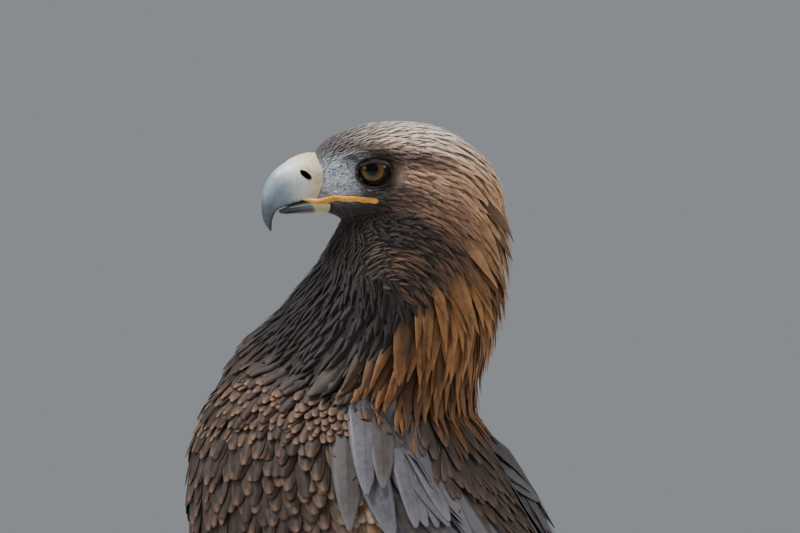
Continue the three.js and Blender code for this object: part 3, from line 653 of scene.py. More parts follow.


# %% [markdown]
# The bird is dark brown, nearly black on the throat and breast. Long golden hackles hang down its
# nape, the crown is pale buff painted lighter still as highlight from the light above, and the
# cheeks are a warm brown. Each tract gets its colour from a few named marks that fade into each
# other, so the skin below can take the same markings.

# %% Colours of the coat
def srgb(r, g, b):
    c = np.array([r, g, b], float) / 255
    return np.where(c <= 0.04045, c / 12.92, ((c + 0.055) / 1.055) ** 2.4)


DARK = srgb(40, 31, 28)
GOLD = srgb(142, 99, 58)
BUFF = srgb(176, 138, 104)
# pale buff, brightened as painted highlight where it tops the crown
PALE = srgb(242, 228, 216)
HEAD_MARKS = [  # how far forward and up the mark lies, its reach both ways, its colour and strength
    # forehead: dark feathers painted grey as a reflection of the sky
    ("forehead", 24, 18, 14, 9, srgb(98, 96, 98), 1.5),
    ("fore crown", 8, 27, 12, 5, srgb(128, 116, 110), 1.0),
    # crown, hind crown and over the brow: pale buff lightened further by painted highlight from above
    ("crown", -20, 27, 25, 9, PALE, 2.4),
    ("hind crown", -48, 16, 14, 12, srgb(226, 196, 168), 1.8),
    ("over the brow", -8, 16.5, 20, 4.5, srgb(216, 186, 164), 2.0),
    # brow: a dark band of painted shade along the ridge over the eye
    ("brow", 10, 10, 16, 3.4, srgb(74, 58, 52), 2.6),
    ("behind the eye", -15, 6, 11, 3, srgb(58, 44, 39), 2.2),
    ("below the eye", 0, -11, 12, 3, srgb(78, 66, 62), 1.6),
    ("lores", 22, -4, 9, 8, srgb(178, 184, 192), 2.8),
    ("upper cheek", -28, -3, 15, 9, srgb(188, 148, 122), 2.0),
    ("cheek", -20, -20, 14, 8, srgb(122, 92, 74), 1.4),
    ("nape side", -54, -12, 16, 16, srgb(196, 150, 112), 1.7),
    ("jaw", 2, -28, 18, 7, srgb(54, 42, 37), 2.2),
    ("chin", 24, -26, 12, 6, srgb(58, 50, 47), 2.0),
    ("ear's lower edge", -34, -42, 16, 12, srgb(92, 66, 50), 1.4),
]


def marks_at(points):
    """The head's colour at points of the bird."""
    local = to_head(points)
    forward, up = -local[:, 1], local[:, 2]
    weights = np.full(len(points), 1e-4)
    total = weights[:, None] * DARK
    for _, at, high, long, tall, colour, strength in HEAD_MARKS:
        near = strength * np.exp(-(((forward - at) / long) ** 2) - ((up - high) / tall) ** 2)
        total += near[:, None] * colour
        weights += near
    return total / weights[:, None]


def tone(count, colour, amount=0.16):
    """Each feather is a little lighter or darker than the colour of its tract."""
    return np.broadcast_to(colour, (count, 3)) * (1 + jitter(count, amount))[:, None]


def fade(values, start, end):
    return soft_step((values - start) / (end - start))[:, None]


# %% [markdown]
# Every material here is a small graph of nodes. A few helpers that add a node, link its inputs and
# hand back its outputs keep those graphs as short to read as a sum. A node goes in the tree of the
# values that it is given.

# %% Node helpers
def is_socket(value):
    return isinstance(value, bpy.types.NodeSocket)


def feed(socket, value):
    """Links another node's output to a socket, or sets a plain value or colour on it."""
    if is_socket(value):
        socket.id_data.links.new(value, socket)
    else:
        socket.default_value = (*value.tolist(), 1.0) if isinstance(value, np.ndarray) else value


def put(tree, kind, inputs=None, **settings):
    node = tree.nodes.new("ShaderNode" + kind)
    for key, value in settings.items():
        setattr(node, key, value)
    for key, value in (inputs or {}).items():
        feed(node.inputs[key], value)
    return node.outputs


def calc(operation, a, b=0.0):
    tree = (a if is_socket(a) else b).id_data
    return put(tree, "Math", {0: a, 1: b}, operation=operation)[0]


def times(a, b):
    return calc("MULTIPLY", a, b)


def plus(a, b):
    return calc("ADD", a, b)


def minus(a, b):
    return calc("SUBTRACT", a, b)


def slope(value, low, high, start=0.0, end=1.0):
    inputs = {"Value": value, "From Min": low, "From Max": high, "To Min": start, "To Max": end}
    return put(value.id_data, "MapRange", inputs, interpolation_type="SMOOTHSTEP")["Result"]


def blend(share, a, b):
    return put(share.id_data, "Mix", {0: share, 6: a, 7: b}, data_type="RGBA")[2]


def noise(where, scale, detail=3.0):
    return put(where.id_data, "TexNoise", {"Vector": where, "Scale": scale, "Detail": detail})["Fac"]


def place_in(tree):
    return put(tree, "TexCoord")["Object"]


def map_in(tree, name):
    return put(tree, "UVMap", uv_map=name)["UV"]


def colour_in(tree, name):
    return put(tree, "VertexColor", layer_name=name)["Color"]


def share_in(tree, name):
    return put(tree, "Attribute", attribute_name=name)["Fac"]


def group_of(name, inputs, outputs):
    tree = bpy.data.node_groups.new(name, "ShaderNodeTree")
    for way, sockets in (("INPUT", inputs), ("OUTPUT", outputs)):
        for label, kind in sockets.items():
            tree.interface.new_socket(label, in_out=way, socket_type="NodeSocket" + kind)
    return tree, tree.nodes.new("NodeGroupInput").outputs, tree.nodes.new("NodeGroupOutput").inputs


def surface_of(made):
    return made.node_tree.nodes["Principled BSDF"].inputs


def material(name):
    made = bpy.data.materials.new(name)
    made.use_nodes = True
    return made, made.node_tree, surface_of(made)


def cover(surface, values, height=None, strength=0.0, depth=0.0004):
    """Feeds the surface shader, and gives it a bump from a height, with its depth in metres."""
    for key, value in values.items():
        feed(surface[key], value)
    if height:
        inputs = {"Height": height, "Strength": strength, "Distance": depth}
        feed(surface["Normal"], put(height.id_data, "Bump", inputs)["Normal"])


# %% [markdown]
# A vane shows a pale or dark rim, a darker shaft, and barbs that run out from the shaft at a slant.
# One node group draws all of that from the vane's own map, so every tract can use it with its own
# strengths. The barbs also give the bump, because real vanes catch the light in fine ridges.

# %% Vane detail
BARB_RATE, BARB_SLANT, BARB_WANDER = 330.0, -34.0, 12.0

vane_group, given, found = group_of(
    "vane detail",
    {"Vane": "Vector", "Place": "Vector", "Tint": "Color", "Edge": "Color", "Rim": "Float",
     "Barbs": "Float", "Shaft": "Float", "Base": "Float"},
    {"Color": "Color", "Height": "Float", "Roughness": "Float"},
)
split = put(vane_group, "SeparateXYZ", {0: given["Vane"]})
off_shaft = calc("ABSOLUTE", minus(times(split["X"], 2.0), 1.0))
flank = times(slope(off_shaft, 0.52, 0.98), slope(split["Y"], 0.3, 0.7))
rim = times(calc("MAXIMUM", slope(split["Y"], 0.77, 0.99), flank), given["Rim"])
mottle = noise(given["Place"], 260.0)
slant = plus(times(split["Y"], BARB_RATE), times(off_shaft, BARB_SLANT))
barb = times(calc("SINE", plus(slant, times(mottle, BARB_WANDER))), given["Barbs"])
shaft = times(slope(off_shaft, 0.16, 0.03), given["Shaft"])
# the root half, hidden under the next feathers, is darker: partly a dark base, partly painted shade
hidden = minus(1.0, slope(split["Y"], 0.1, 0.62))
base = plus(times(hidden, minus(given["Base"], 1.0)), 1.0)
light = times(base, slope(mottle, 0.3, 0.7, 0.78, 1.2))
light = minus(plus(light, times(barb, 0.3)), times(shaft, 0.45))
body_tone = put(vane_group, "VectorMath", {0: given["Tint"], "Scale": light}, operation="SCALE")[0]
feed(found["Color"], blend(rim, body_tone, given["Edge"]))
feed(found["Height"], plus(barb, shaft))
feed(found["Roughness"], slope(mottle, 0.2, 0.8, 0.46, 0.7))


def feather_material(name, rim=0.35, barbs=0.3, shaft=0.3, base=0.6, gloss=0.35, coat_weight=0.0):
    """Rim, barbs and shaft are strengths, and base is how light the hidden half of a vane is: its own dark
    base plus painted shade from the feathers over it.
    """
    made, tree, surface = material(name)
    detail = put(tree, "Group", {
        "Vane": map_in(tree, "vane"), "Place": place_in(tree), "Tint": colour_in(tree, "tint"),
        "Edge": colour_in(tree, "edge"), "Rim": rim, "Barbs": barbs, "Shaft": shaft, "Base": base,
    }, node_tree=vane_group)
    cover(surface, {
        "Base Color": detail["Color"], "Roughness": detail["Roughness"], "Specular IOR Level": gloss,
        "Coat Weight": coat_weight, "Coat Roughness": 0.4,
    }, detail["Height"], 0.3)
    return made


head_feathers = feather_material("head feathers", barbs=0.15, shaft=0.25, base=0.62)
hackle_feathers = feather_material("hackles", rim=0.55, barbs=0.2, shaft=0.35, base=0.16)
body_feathers = feather_material("body feathers", rim=0.45, barbs=0.35)
covert_feathers = feather_material("wing coverts", rim=0.56, shaft=0.35, base=0.55)
scapular_feathers = feather_material("scapulars", shaft=0.5, gloss=0.5, coat_weight=0.22)
flight_feathers = feather_material("flight feathers", barbs=0.5, shaft=0.6, base=0.8, gloss=0.45)
leg_feathers = feather_material("leg feathers", rim=0.3, barbs=0.25, shaft=0.15)

# %% [markdown]
# Head feathers are tiny at the bill and grow towards the nape. They are scattered evenly, with the
# spacing set by the distance from the bill, and they all sweep back and then down the neck.

# %% Head feathers
BILL_BASE = ahead(31, 0, -4)
HEAD_TRIES = 60000  # random points that are thinned out to the feathers' roots


def head_growth(local):
    """0 at the base of the bill to 1 at the nape."""
    return np.clip((np.linalg.norm((local - BILL_BASE) * (0.75, 1, 1), axis=-1) - 12) / 92, 0, 1)


def lies_on_head(local):
    forward, up = -local[:, 1], local[:, 2]
    return (up > -62 - 0.25 * forward) & (forward < 36) & (forward > -84)


def unwrap_head(local):
    turn = np.arctan2(local[:, 0], local[:, 2] + 12) / math.tau
    return np.stack([0.63 + 0.22 * turn, 0.56 + 0.4 * (84 + local[:, 1] - 0.4 * local[:, 2]) / 190], -1)


def bare_face(local):
    """The lores and the chin beside the bill, where only bristles grow."""
    forward, up = -local[:, 1], local[:, 2]
    lores = ((forward - 23) / 12) ** 2 + ((up + 5) / 10.5) ** 2 < 1
    chin = (forward > 10) & (up < -12) & (up > -25 + 0.2 * (forward - 20))
    return (lores | chin) & (np.abs(local[:, 0]) > 6)


face_middles = to_bird(skin_spots[skin_corners].mean(1))
roots = scatter(lies_on_head(to_head(face_middles)), HEAD_TRIES)
roots = thin_out(roots, 1.25 + 2.7 * head_growth(to_head(roots)))
local = to_head(roots)
off_eye = (eye_share(local) > 1.16) | (local[:, 2] > 6.4)
off_bill = (-local[:, 1] <= 33) | (local[:, 2] >= 12)
roots, local = roots[off_eye & off_bill], local[off_eye & off_bill]
growth, bare = head_growth(local), bare_face(local)
ways = head_ways(roots)
print("head feathers:", len(roots), "of them bristles:", int(bare.sum()))


def head_batch(pick, outline, pattern, **sizes):
    count = int(pick.sum())
    tint = tone(count, marks_at(roots[pick]), 0.2)
    tint[bare[pick] & (rng.uniform(size=count) < 0.35)] *= 0.3
    pale = np.clip(tint * 1.5, 0, 0.9)
    return lay(roots[pick], ways[pick], unwrap_head(local[pick]), tint, pale, outline=outline,
               pattern=pattern, **sizes)


fine, coarse = ~bare & (growth < 0.45), ~bare & (growth >= 0.45)
grown = growth[fine]
coat("coat_face", [
    head_batch(bare, "pointed", SMALL_VANE, length=3.4, half=0.34, low=-0.3, high=0.9, thick=0.25, stray=0.7,
               steps=2, spread=0.3),
    head_batch(fine, "oval", SMALL_VANE, length=4.2 + 22 * grown, half=0.6 + 1.5 * grown, low=-0.6,
               high=0.7 + 0.9 * grown, thick=0.25, stray=0.16, steps=3, cup=8),
], head_feathers)
grown = growth[coarse]
coat("coat_head", [
    head_batch(coarse, "pointed", MIDDLE_VANE, length=6 + 22 * grown, half=0.7 + 2.0 * grown, low=-0.8,
               high=0.8 + 2.4 * grown**2, thick=0.35, stray=0.16, steps=4, cup=9),
], head_feathers)

# %% [markdown]
# The hackles are long narrow lances that hang over each other down the nape, and their golden tips
# give the bird its name. The deep shadows between the tips are partly their dark bases and partly
# painted shade: a share of the hackles is painted much darker. They stand off the neck a little
# more than the rest of the coat.

# %% Hackles
HACKLE_REACH = (56, 80)  # degrees from the back between which gold fades into brown
# the share of the hackles painted much darker as shade between the tips
HACKLE_SHADE_SHARE = 0.28  # the share of them that is much darker


def nape_colour(at, degrees):
    gold = GOLD * 1.05
    tint = gold + (gold * (0.62, 0.56, 0.5) - gold) * fade(at, 30, 96)
    tint = BUFF + (tint - BUFF) * np.maximum(fade(at, -6, 34), 0.35)
    return tint + (DARK * 1.1 - tint) * fade(np.abs(degrees), *HACKLE_REACH)


spots = body_rows(2, 98, 6.0, 0, 88, 6.8)
spots = spots[np.abs(spots[:, 1]) < 46 + 0.34 * spots[:, 0]]
golden = tone(len(spots), nape_colour(*spots.T), 0.25)
# painted shade: a random share of the hackles is made much darker
golden = golden * np.where(rng.uniform(size=(len(spots), 1)) < HACKLE_SHADE_SHARE, 0.45, 1.0)
lift = 3.8 + 5.0 * np.clip(1 - spots[:, 0] / 90, 0, 1)
coat("coat_hackles", [
    lay(body_point(*spots.T), along_body(spots), unwrap_body(spots), golden, golden * (1.55, 1.5, 1.5),
        length=42, half=4.4, outline="pointed", high=lift, cup=12, stray=0.14, tilt=0.16, sway=0.6,
        spread=0.2),
], hackle_feathers)

# %% [markdown]
# From the throat down, the contour feathers lie in rows like roof tiles. Each tract has its rows:
# where they start and end along the body, how far apart they are, which angles they cover and how
# far apart the feathers in a row are. Then come its colour, the colour of its rims and its sizes.

# %% Body tracts
def tract(spots, colour, edge, sideways=0.0, amount=0.18, **sizes):
    count = len(spots)
    return lay(body_point(*spots.T), along_body(spots, sideways), unwrap_body(spots),
               tone(count, colour, amount), tone(count, edge, 0.2), **sizes)


throat = body_rows(28, 122, 5.5, 62, 182, 5.2)
coat("coat_throat", [
    tract(throat, srgb(33, 27, 26), srgb(58, 44, 37), length=26, half=3.3, outline="pointed",
          pattern=SMALL_VANE, high=1.6, thick=0.2, cup=30, stray=0.2, sway=0.5),
], body_feathers)
breast = np.vstack([body_rows(112, 190, 8, 84, 182, 7.5), body_rows(190, 440, 11, 84, 182, 11)])
down_breast = np.clip((breast[:, 0] - 112) / 100, 0, 1)
coat("coat_breast", [
    tract(breast, srgb(50, 38, 33), srgb(90, 65, 49), length=28 + 10 * down_breast,
          half=4.4 + 4.2 * down_breast, high=2.6, cup=34, stray=0.14),
], body_feathers)
mantle = body_rows(94, 300, 10, 0, 84, 10)
mantle = mantle[np.abs(mantle[:, 1]) < np.interp(mantle[:, 0], (94, 120, 300), (84, 44, 22))]
rump = body_rows(292, 470, 13, 0, 72, 13)
coat("coat_back", [
    tract(mantle, srgb(60, 47, 41), srgb(120, 96, 80), length=42, half=7.6, outline="oval", high=3.2, cup=26),
    tract(rump, srgb(66, 50, 41), srgb(110, 82, 62), length=46, half=10.5, high=3.2, cup=40),
], body_feathers)
vent = body_rows(430, 500, 11, 78, 182, 9)
coat("coat_vent", [
    tract(vent, srgb(112, 78, 52), srgb(160, 122, 88), length=34, half=7.0, outline="oval", high=2.4, cup=30),
], body_feathers)

# %% [markdown]
# The folded wing is covered by coverts in tiers that grow in size downwards, dark brown with pale
# fringes. The scapulars, long smooth feathers with a slate sheen that is partly painted into their
# colour, start at the shoulder and lie over the wing and the back.

# %% Wing coverts and scapulars
WING_TIERS = [  # start, end, step, angles, spacing, length, half width, lift, colour, edge
    (124, 150, 4.5, 54, 142, 4.8, 17, 3.2, 2.6, srgb(80, 60, 48), srgb(156, 120, 92)),
    (146, 200, 7.5, 42, 140, 7.6, 29, 5.2, 2.8, srgb(60, 47, 42), srgb(134, 102, 80)),
    (196, 252, 12, 38, 136, 11, 41, 7.2, 3.0, srgb(49, 40, 37), srgb(112, 85, 68)),
    (248, 326, 18, 36, 130, 14, 58, 10, 3.4, srgb(44, 37, 35), srgb(92, 71, 59)),
    (318, 412, 26, 35, 112, 17, 78, 12.6, 3.8, srgb(43, 36, 35), srgb(80, 64, 55)),
]
SHOULDER = {"at": 196, "degrees": 62, "long": 20, "wide": 13}  # a paler patch on the coverts
SCAPULARS = {"start": 112, "end": 300, "step": 15, "rows": 4, "degrees": 69, "climb": 20, "gap": 9.0}


def wing_tract(hand):
    batches = []
    for *row, length, half, rise, colour, edge in WING_TIERS:
        spots = body_rows(*row, hands=(hand,))
        upper, lower = (np.interp(spots[:, 0], ARM[:, 0], ARM[:, k]) for k in (1, 2))
        out = np.abs(spots[:, 1])
        spots = spots[(out > upper - 6) & (out < lower + 2) & (out > 61 - 0.1 * (spots[:, 0] - 124))]
        off = np.stack([(spots[:, 0] - SHOULDER["at"]) / SHOULDER["long"],
                        (np.abs(spots[:, 1]) - SHOULDER["degrees"]) / SHOULDER["wide"]])
        pale = np.exp(-(off**2).sum(0))[:, None]
        tint, rims = colour + (BUFF * 0.62 - colour) * pale, edge + (PALE * 0.6 - edge) * pale
        batches.append(tract(spots, tint, rims, 0.06, 0.26, length=length, half=half, high=rise, cup=30,
                             low=-1.4, stray=0.16, tilt=0.1))
    return batches


def scapular_tract(hand):
    start, end, step, rows, degrees, climb, gap = SCAPULARS.values()
    spots = np.array([(at, hand * (degrees - climb * (at - start) / 190 - across * gap))
                      for at in range(start, end, step) for across in range(rows)], float)
    spots[:, 0] += jitter(len(spots), 5)
    spots[:, 1] += jitter(len(spots), 2.0)
    share = np.clip((spots[:, 0] - start) / 190, 0, 1)
    # slate grey tints and pale blue-grey rims: partly their own colour, partly painted sheen
    tint = np.where(rng.uniform(size=(len(spots), 1)) < 0.62, srgb(92, 90, 98), srgb(76, 68, 68))
    return tract(spots, tint, srgb(126, 126, 136), 0.36, 0.13, length=72 + 30 * share,
                 half=8.6 + 4.5 * share, outline="oval", pattern=BROAD_VANE, low=0.6, high=6.4, cup=30,
                 stray=0.08, tilt=0.08, sway=0.3)


for hand, label in HANDS:
    coat(f"coat_wing_{label}", wing_tract(hand), covert_feathers)
coat("coat_scapulars", [scapular_tract(1), scapular_tract(-1)], scapular_feathers)

# %% [markdown]
# The long flight feathers of the folded wing lie one over the next in a narrow fan that runs from
# the wrist past the base of the tail. Each is a vane set on that fan plane by its root and tip.

# %% Flight feathers
FAN_START, FAN_END = 430.0, 704.0
fan_start = body_point(FAN_START, 72, -3)[0]
fan_line = body_point(FAN_END, 50, 3.5)[0] - fan_start
fan_out = body_point(FAN_END, 60, 1)[0] - body_point(FAN_END, 60)[0]
fan_out = unit(fan_out - fan_line * (fan_out @ fan_line) / (fan_line @ fan_line))
fan_across = -unit(np.cross(fan_out, fan_line))


def flight_points(root, tip, half):
    """A flight feather that leaves the body's surface at its root and ends on the fan plane."""
    t = LARGE_VANE["along"]
    distance = root[0] + (tip[0] - root[0]) * t
    share = (distance - FAN_START) / (FAN_END - FAN_START)
    middle = fan_start + np.outer(share, fan_line) + tip[1] * fan_across + tip[2] * fan_out
    if len(root) > 1:
        ease = soft_step(t / 0.7)[:, None]
        middle = middle * ease + body_point(distance, root[1], root[2]) * (1 - ease)
    offset = LARGE_VANE["across"] * half * OUTLINES["flight"](t)
    rise = LARGE_VANE["height"] * 0.35 * (1 - 0.6 * t) - offset**2 / 300
    return middle + offset[:, None] * fan_across + rise[:, None] * fan_out


def flight_batch(count, first, last, half, hand, colour, edge):
    """Feathers from the first to the last, each given by its root and its tip."""
    roots, tips = (np.linspace(a, b, count) for a, b in zip(first, last))
    points = np.array([flight_points(root, tip, half) for root, tip in zip(roots, tips)]) * (hand, 1, 1)
    unwrap = np.stack([0.80 + 0.0016 * np.arange(count) + 0.09 * (hand < 0), 0.6 + roots[:, 0] / 2000], -1)
    return {"pattern": LARGE_VANE, "points": points, "unwrap": unwrap,
            "tint": tone(count, colour), "edge": tone(count, edge)}


for hand, label in HANDS:
    coat(f"flight_feathers_{label}", [
        flight_batch(10, ((372, 88, 3), (522, 12, 5.6)), ((352, 42, 6), (596, -14, 13)), 19, hand,
                     srgb(58, 47, 43), srgb(104, 88, 78)),
        flight_batch(7, ((440,), (704, 4, 0)), ((430,), (600, -3, 4.8)), 13, hand,
                     srgb(50, 44, 42), srgb(84, 74, 68)),
    ], flight_feathers, [f"wing_{label}"])

# %% [markdown]
# Twelve tail feathers are stacked like a hand of cards, the middle pair on top. Their bars are part
# of the vane's colour, so they get a material of their own on the same vane map.

# %% Tail
TAIL_PAIRS, TAIL_ROOT, TAIL_TIP = 6, 478, 736  # the root and tip are distances along the axis
TAIL_COVERT_ROWS = (470, 492, 514, 536)


def tail_point(distance, side, rise):
    centre, back, *_ = body_frame(distance)
    return centre + np.outer(side, (1, 0, 0)) + (rise - 0.0016 * side**2)[:, None] * back


def rectrix(pair, hand):
    t = LARGE_VANE["along"]
    out = (pair + 0.5) / TAIL_PAIRS
    distance = TAIL_ROOT + (TAIL_TIP - 7 * out - TAIL_ROOT) * t
    middle = hand * ((1.5 + 2.2 * pair) * (1 - t) + (3 + 31 * out) * t)
    across = LARGE_VANE["across"] * 23 * (0.45 + 0.55 * np.minimum(1, 1.8 * t)) * 1.2 * OUTLINES["flight"](t)
    layer = 5.2 - 2.2 * (pair + (0.5 if hand < 0 else 0))
    return tail_point(distance, middle + across, layer + LARGE_VANE["height"] * 0.5 * (1 - 0.6 * t))


def tail_material():
    made = feather_material("tail feathers", rim=0.2, barbs=0.4, shaft=0.7, base=0.9)
    tree, colour = made.node_tree, surface_of(made)["Base Color"]
    along = put(tree, "SeparateXYZ", {0: map_in(tree, "vane")})["Y"]
    wander = times(noise(place_in(tree), 70.0), 3.2)
    bars = slope(calc("SINE", plus(times(along, 44.0), wander)), 0.0, 0.7)
    band = calc("MAXIMUM", times(bars, 0.6), slope(along, 0.76, 0.84))
    feed(colour, blend(band, colour.links[0].from_socket, srgb(42, 36, 35)))
    return made


feathers = [(pair, hand) for pair in range(TAIL_PAIRS) for hand in (1, -1)]
coat("tail_feathers", [{
    "pattern": LARGE_VANE, "points": np.array([rectrix(*row) for row in feathers]),
    "unwrap": np.array([(0.80 + 0.012 * pair, 0.52 + 0.01 * hand) for pair, hand in feathers]),
    "tint": tone(12, srgb(92, 84, 80), 0.08), "edge": tone(12, srgb(120, 108, 100), 0.08),
}], tail_material(), ["tail"])


def tail_coverts(top, tip, sign, colour, edge):
    """Rows of shorter feathers over or under the root of the tail."""
    rows = []
    t = BROAD_VANE["along"]
    across = BROAD_VANE["across"] * 10 * OUTLINES["oval"](t)
    rise = sign * (top + 1.6 - 2.4 * t + 0.4 * BROAD_VANE["height"])
    for k, start in enumerate(TAIL_COVERT_ROWS):
        for side in np.linspace(-20, 20, 5 + k % 2):
            side += jitter(1, 1.5)[0]
            rows.append(tail_point(start + (tip - 522) * t, side * (1 + 0.2 * t) + across, rise))
    count = len(rows)
    return {"pattern": BROAD_VANE, "points": np.array(rows),
            "tint": tone(count, colour), "edge": tone(count, edge),
            "unwrap": np.stack([0.9 + jitter(count, 0.02), 0.53 + jitter(count, 0.01)], -1)}


coat("tail_coverts", [
    tail_coverts(7.2, 590, 1, srgb(92, 70, 54), srgb(140, 110, 84)),
    tail_coverts(10.6, 575, -1, srgb(140, 104, 72), srgb(190, 154, 118)),
], body_feathers)

# %% [markdown]
# Long loose feathers hang round the thighs like trousers. A golden eagle is booted, so small pale
# feathers also cover the shank right down to the toes.

# %% Leg feathers
def limb_rows(rows, hand, steps, spacing):
    """Staggered roots down a leg, the way down at each, and their places on the unwrapped skin."""
    kept = []
    for k, share in enumerate(np.linspace(0, 0.97, steps)):
        ring = limb_point(rows, hand, share, np.arange(0, 360, 10))
        girth = np.linalg.norm(ring - np.roll(ring, 1, 0), axis=1).sum()
        count = max(6, int(girth / spacing))
        turns = (np.arange(count) + (k % 2) / 2) * 360 / count
        here = limb_point(rows, hand, share, turns)
        roots = here + jitter(here.size, spacing * 0.15).reshape(here.shape)
        ways = limb_point(rows, hand, min(1, share + 0.03), turns) - here
        across = 0.52 + 0.2 * turns / 360 + 0.22 * (hand < 0)
        kept.append((roots, ways, np.stack([across, np.full(count, 0.02 + 0.22 * share)], -1)))
    return [np.concatenate(part) for part in zip(*kept)]


def leg_batch(rows, hand, steps, spacing, colour, edge, lower=0.0, **sizes):
    roots, ways, places = limb_rows(rows, hand, steps, spacing)
    count = len(roots)
    return lay(roots, ways, places + (0, lower), tone(count, colour, 0.2), tone(count, edge, 0.2),
               outline="oval", **sizes)


for hand, label in HANDS:
    coat(f"coat_leg_{label}", [
        leg_batch(THIGH, hand, 26, 9.5, srgb(84, 62, 48), srgb(140, 104, 76), length=32, half=5.8,
                  high=3.2, cup=20, stray=0.18),
        leg_batch(SHANK, hand, 24, 4.6, srgb(158, 128, 98), srgb(196, 168, 136), 0.24, length=13, half=2.7,
                  pattern=SMALL_VANE, low=-0.5, high=1.6, thick=0.4, cup=12, stray=0.2),
    ], leg_feathers)
print("coat triangles", sum(coat_triangles))

# %% [markdown]
# Skin shows only where feathers part, but there it has to be the same colour as the feathers over
# it. Each point of the skin takes the colour of the nearest root, a good deal darker, and the bare
# lores keep their pale grey.

# %% Skin colours
root_spots, root_tints = (np.concatenate(part) for part in zip(*coat_roots))
root_tree = tree_of_points(root_spots)
skin_tint = root_tints[[root_tree.find(place)[1] for place in skin_places]] * 0.5
local = to_head(skin_places)
pale_face = bare_face(local) & lies_on_head(local)
skin_tint[pale_face] = marks_at(skin_places[pale_face])
keep_colours(skin.data, "tint", skin_tint)
skin_material, tree, surface = material("skin and down")
down = noise(place_in(tree), 900.0, 4.0)
skin_colour = blend(slope(down, 0.3, 0.7, 0.0, 0.5), colour_in(tree, "tint"), (0.01, 0.008, 0.007, 1))
cover(surface, {"Base Color": skin_colour, "Roughness": 0.8}, down, 0.4, 0.0006)
skin.data.materials.append(skin_material)
print("skin points coloured:", len(skin_tint), "of them pale:", int(pale_face.sum()))

# %% [markdown]
# The bill is horn that grows out of a soft waxy cere. Both are cut from one smooth tube, drawn ring
# by ring along a curved line so that the hook can turn down, and the nostrils are real holes.

# %% Bill
BILL = np.array([
    (28, -3.2, 11.5, 14, 12), (36, -3.3, 12.6, 15.5, 11.8), (44, -5.6, 11.6, 14.5, 10.2),
    (51, -9, 9.8, 12.8, 8.2), (56, -14.5, 7.2, 9.6, 6), (58.7, -21, 4.6, 4.6, 4.2),
    (59.4, -27.5, 2.6, 2.3, 2.6), (58, -33.4, 0.5, 0.5, 0.5),
], float)  # forward, up, height over and under the line, half width
LOWER_BILL = np.array([
    (27, -20.2, 3.6, 3.6, 12), (36, -19.9, 3.8, 3.9, 10.2), (45, -21, 3, 3.2, 7.4), (50, -22, 2.2, 2.4, 4.8),
    (53, -22.8, 1.2, 1.2, 2.6),
], float)
BILL_RIDGE = 0.25  # how much the upper bill narrows to its ridge
MOUTH = {
    "up": -17.2, "slope": -0.035, "bow": 0.9, "middle": 40, "width": 9, "drop": 0.36, "drop from": 41,
    "hook": 53.4, "gap": 0.12,
}
NOSTRIL = {"forward": 40.6, "up": -2.8, "side": 11.4, "long": 3.6, "high": 1.6, "deep": 6.0, "tilt": 38}
CERE_SEAM = {"forward": 44.2, "up": -3, "lean": 29, "overlap": 0.5}
CERE_OVER = 0.35  # how far the cere stands over the horn


def mouth_height(forward):
    off = forward - MOUTH["middle"]
    bow = MOUTH["bow"] * np.exp(-((off / MOUTH["width"]) ** 2))
    drop = MOUTH["drop"] * np.maximum(0, forward - MOUTH["drop from"])
    return MOUTH["up"] + MOUTH["slope"] * off + bow - drop


def bill_point(rows, share, degrees, ridge, keep, grow):
    """A point on a bill tube. keep is 1 above the mouth line, -1 below it, and cuts the rest off there."""
    share, degrees = matched(share, degrees)
    forward, up, over, below, wide = smooth_rows(rows, share).T
    lie = way_of(rows[:, :2], share, 0.01)
    s, c = sin_cos(degrees)
    high = c * (np.where(c > 0, over, below) + grow)
    across = s * (wide + grow) * (1 - ridge * np.maximum(0, c) ** 2)
    forward, up = forward - lie[:, 1] * high, up + lie[:, 0] * high
    line = mouth_height(forward) + keep * MOUTH["gap"]
    limited = np.maximum(up, line) if keep > 0 else np.minimum(up, line)
    return head_to_bird(ahead(forward, across, np.where(forward > MOUTH["hook"], up, limited)))


def cut_at_seam(bm, keep_front):
    lean = math.radians(CERE_SEAM["lean"])
    at = CERE_SEAM["forward"] + (0 if keep_front else CERE_SEAM["overlap"])
    cut = bmesh.ops.bisect_plane(
        bm, geom=bm.verts[:] + bm.edges[:] + bm.faces[:],
        plane_co=to_frame(head_to_bird(ahead(at, 0, CERE_SEAM["up"]))),
        plane_no=TURN @ ahead(math.cos(lean), 0, -math.sin(lean)),
        clear_inner=keep_front, clear_outer=not keep_front)
    rim = [e for e in cut["geom_cut"] if isinstance(e, bmesh.types.BMEdge)]
    bmesh.ops.contextual_create(bm, geom=rim)


def bill_piece(name, rows, keep, ridge, node, front=None, grow=0.0):
    bm = bmesh.new()
    loft(bm, lambda t, a: bill_point(rows, t, a, ridge, keep, grow), 72, 90)
    if front is not None:
        cut_at_seam(bm, front)
    made = new_object(name, bm)
    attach(made, "root")
    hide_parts(node)
    return made


horn = bill_piece("bill_horn", BILL, 1, BILL_RIDGE, "bill_upper", front=True)
cere = bill_piece("bill_cere", BILL, 1, BILL_RIDGE, "cere", front=False, grow=CERE_OVER)
lower = bill_piece("bill_lower_horn", LOWER_BILL, -1, 0.0, "bill_lower")


# %% Nostrils
def nostril_place(spots, hand):
    """A flattened ball, tilted on the side of the cere."""
    x, y, z = (spots * (NOSTRIL["deep"], NOSTRIL["long"], NOSTRIL["high"])).T
    s, c = sin_cos(NOSTRIL["tilt"])
    side = x + hand * NOSTRIL["side"]
    return ahead(NOSTRIL["forward"] - y * c - z * s, side, NOSTRIL["up"] - y * s + z * c)


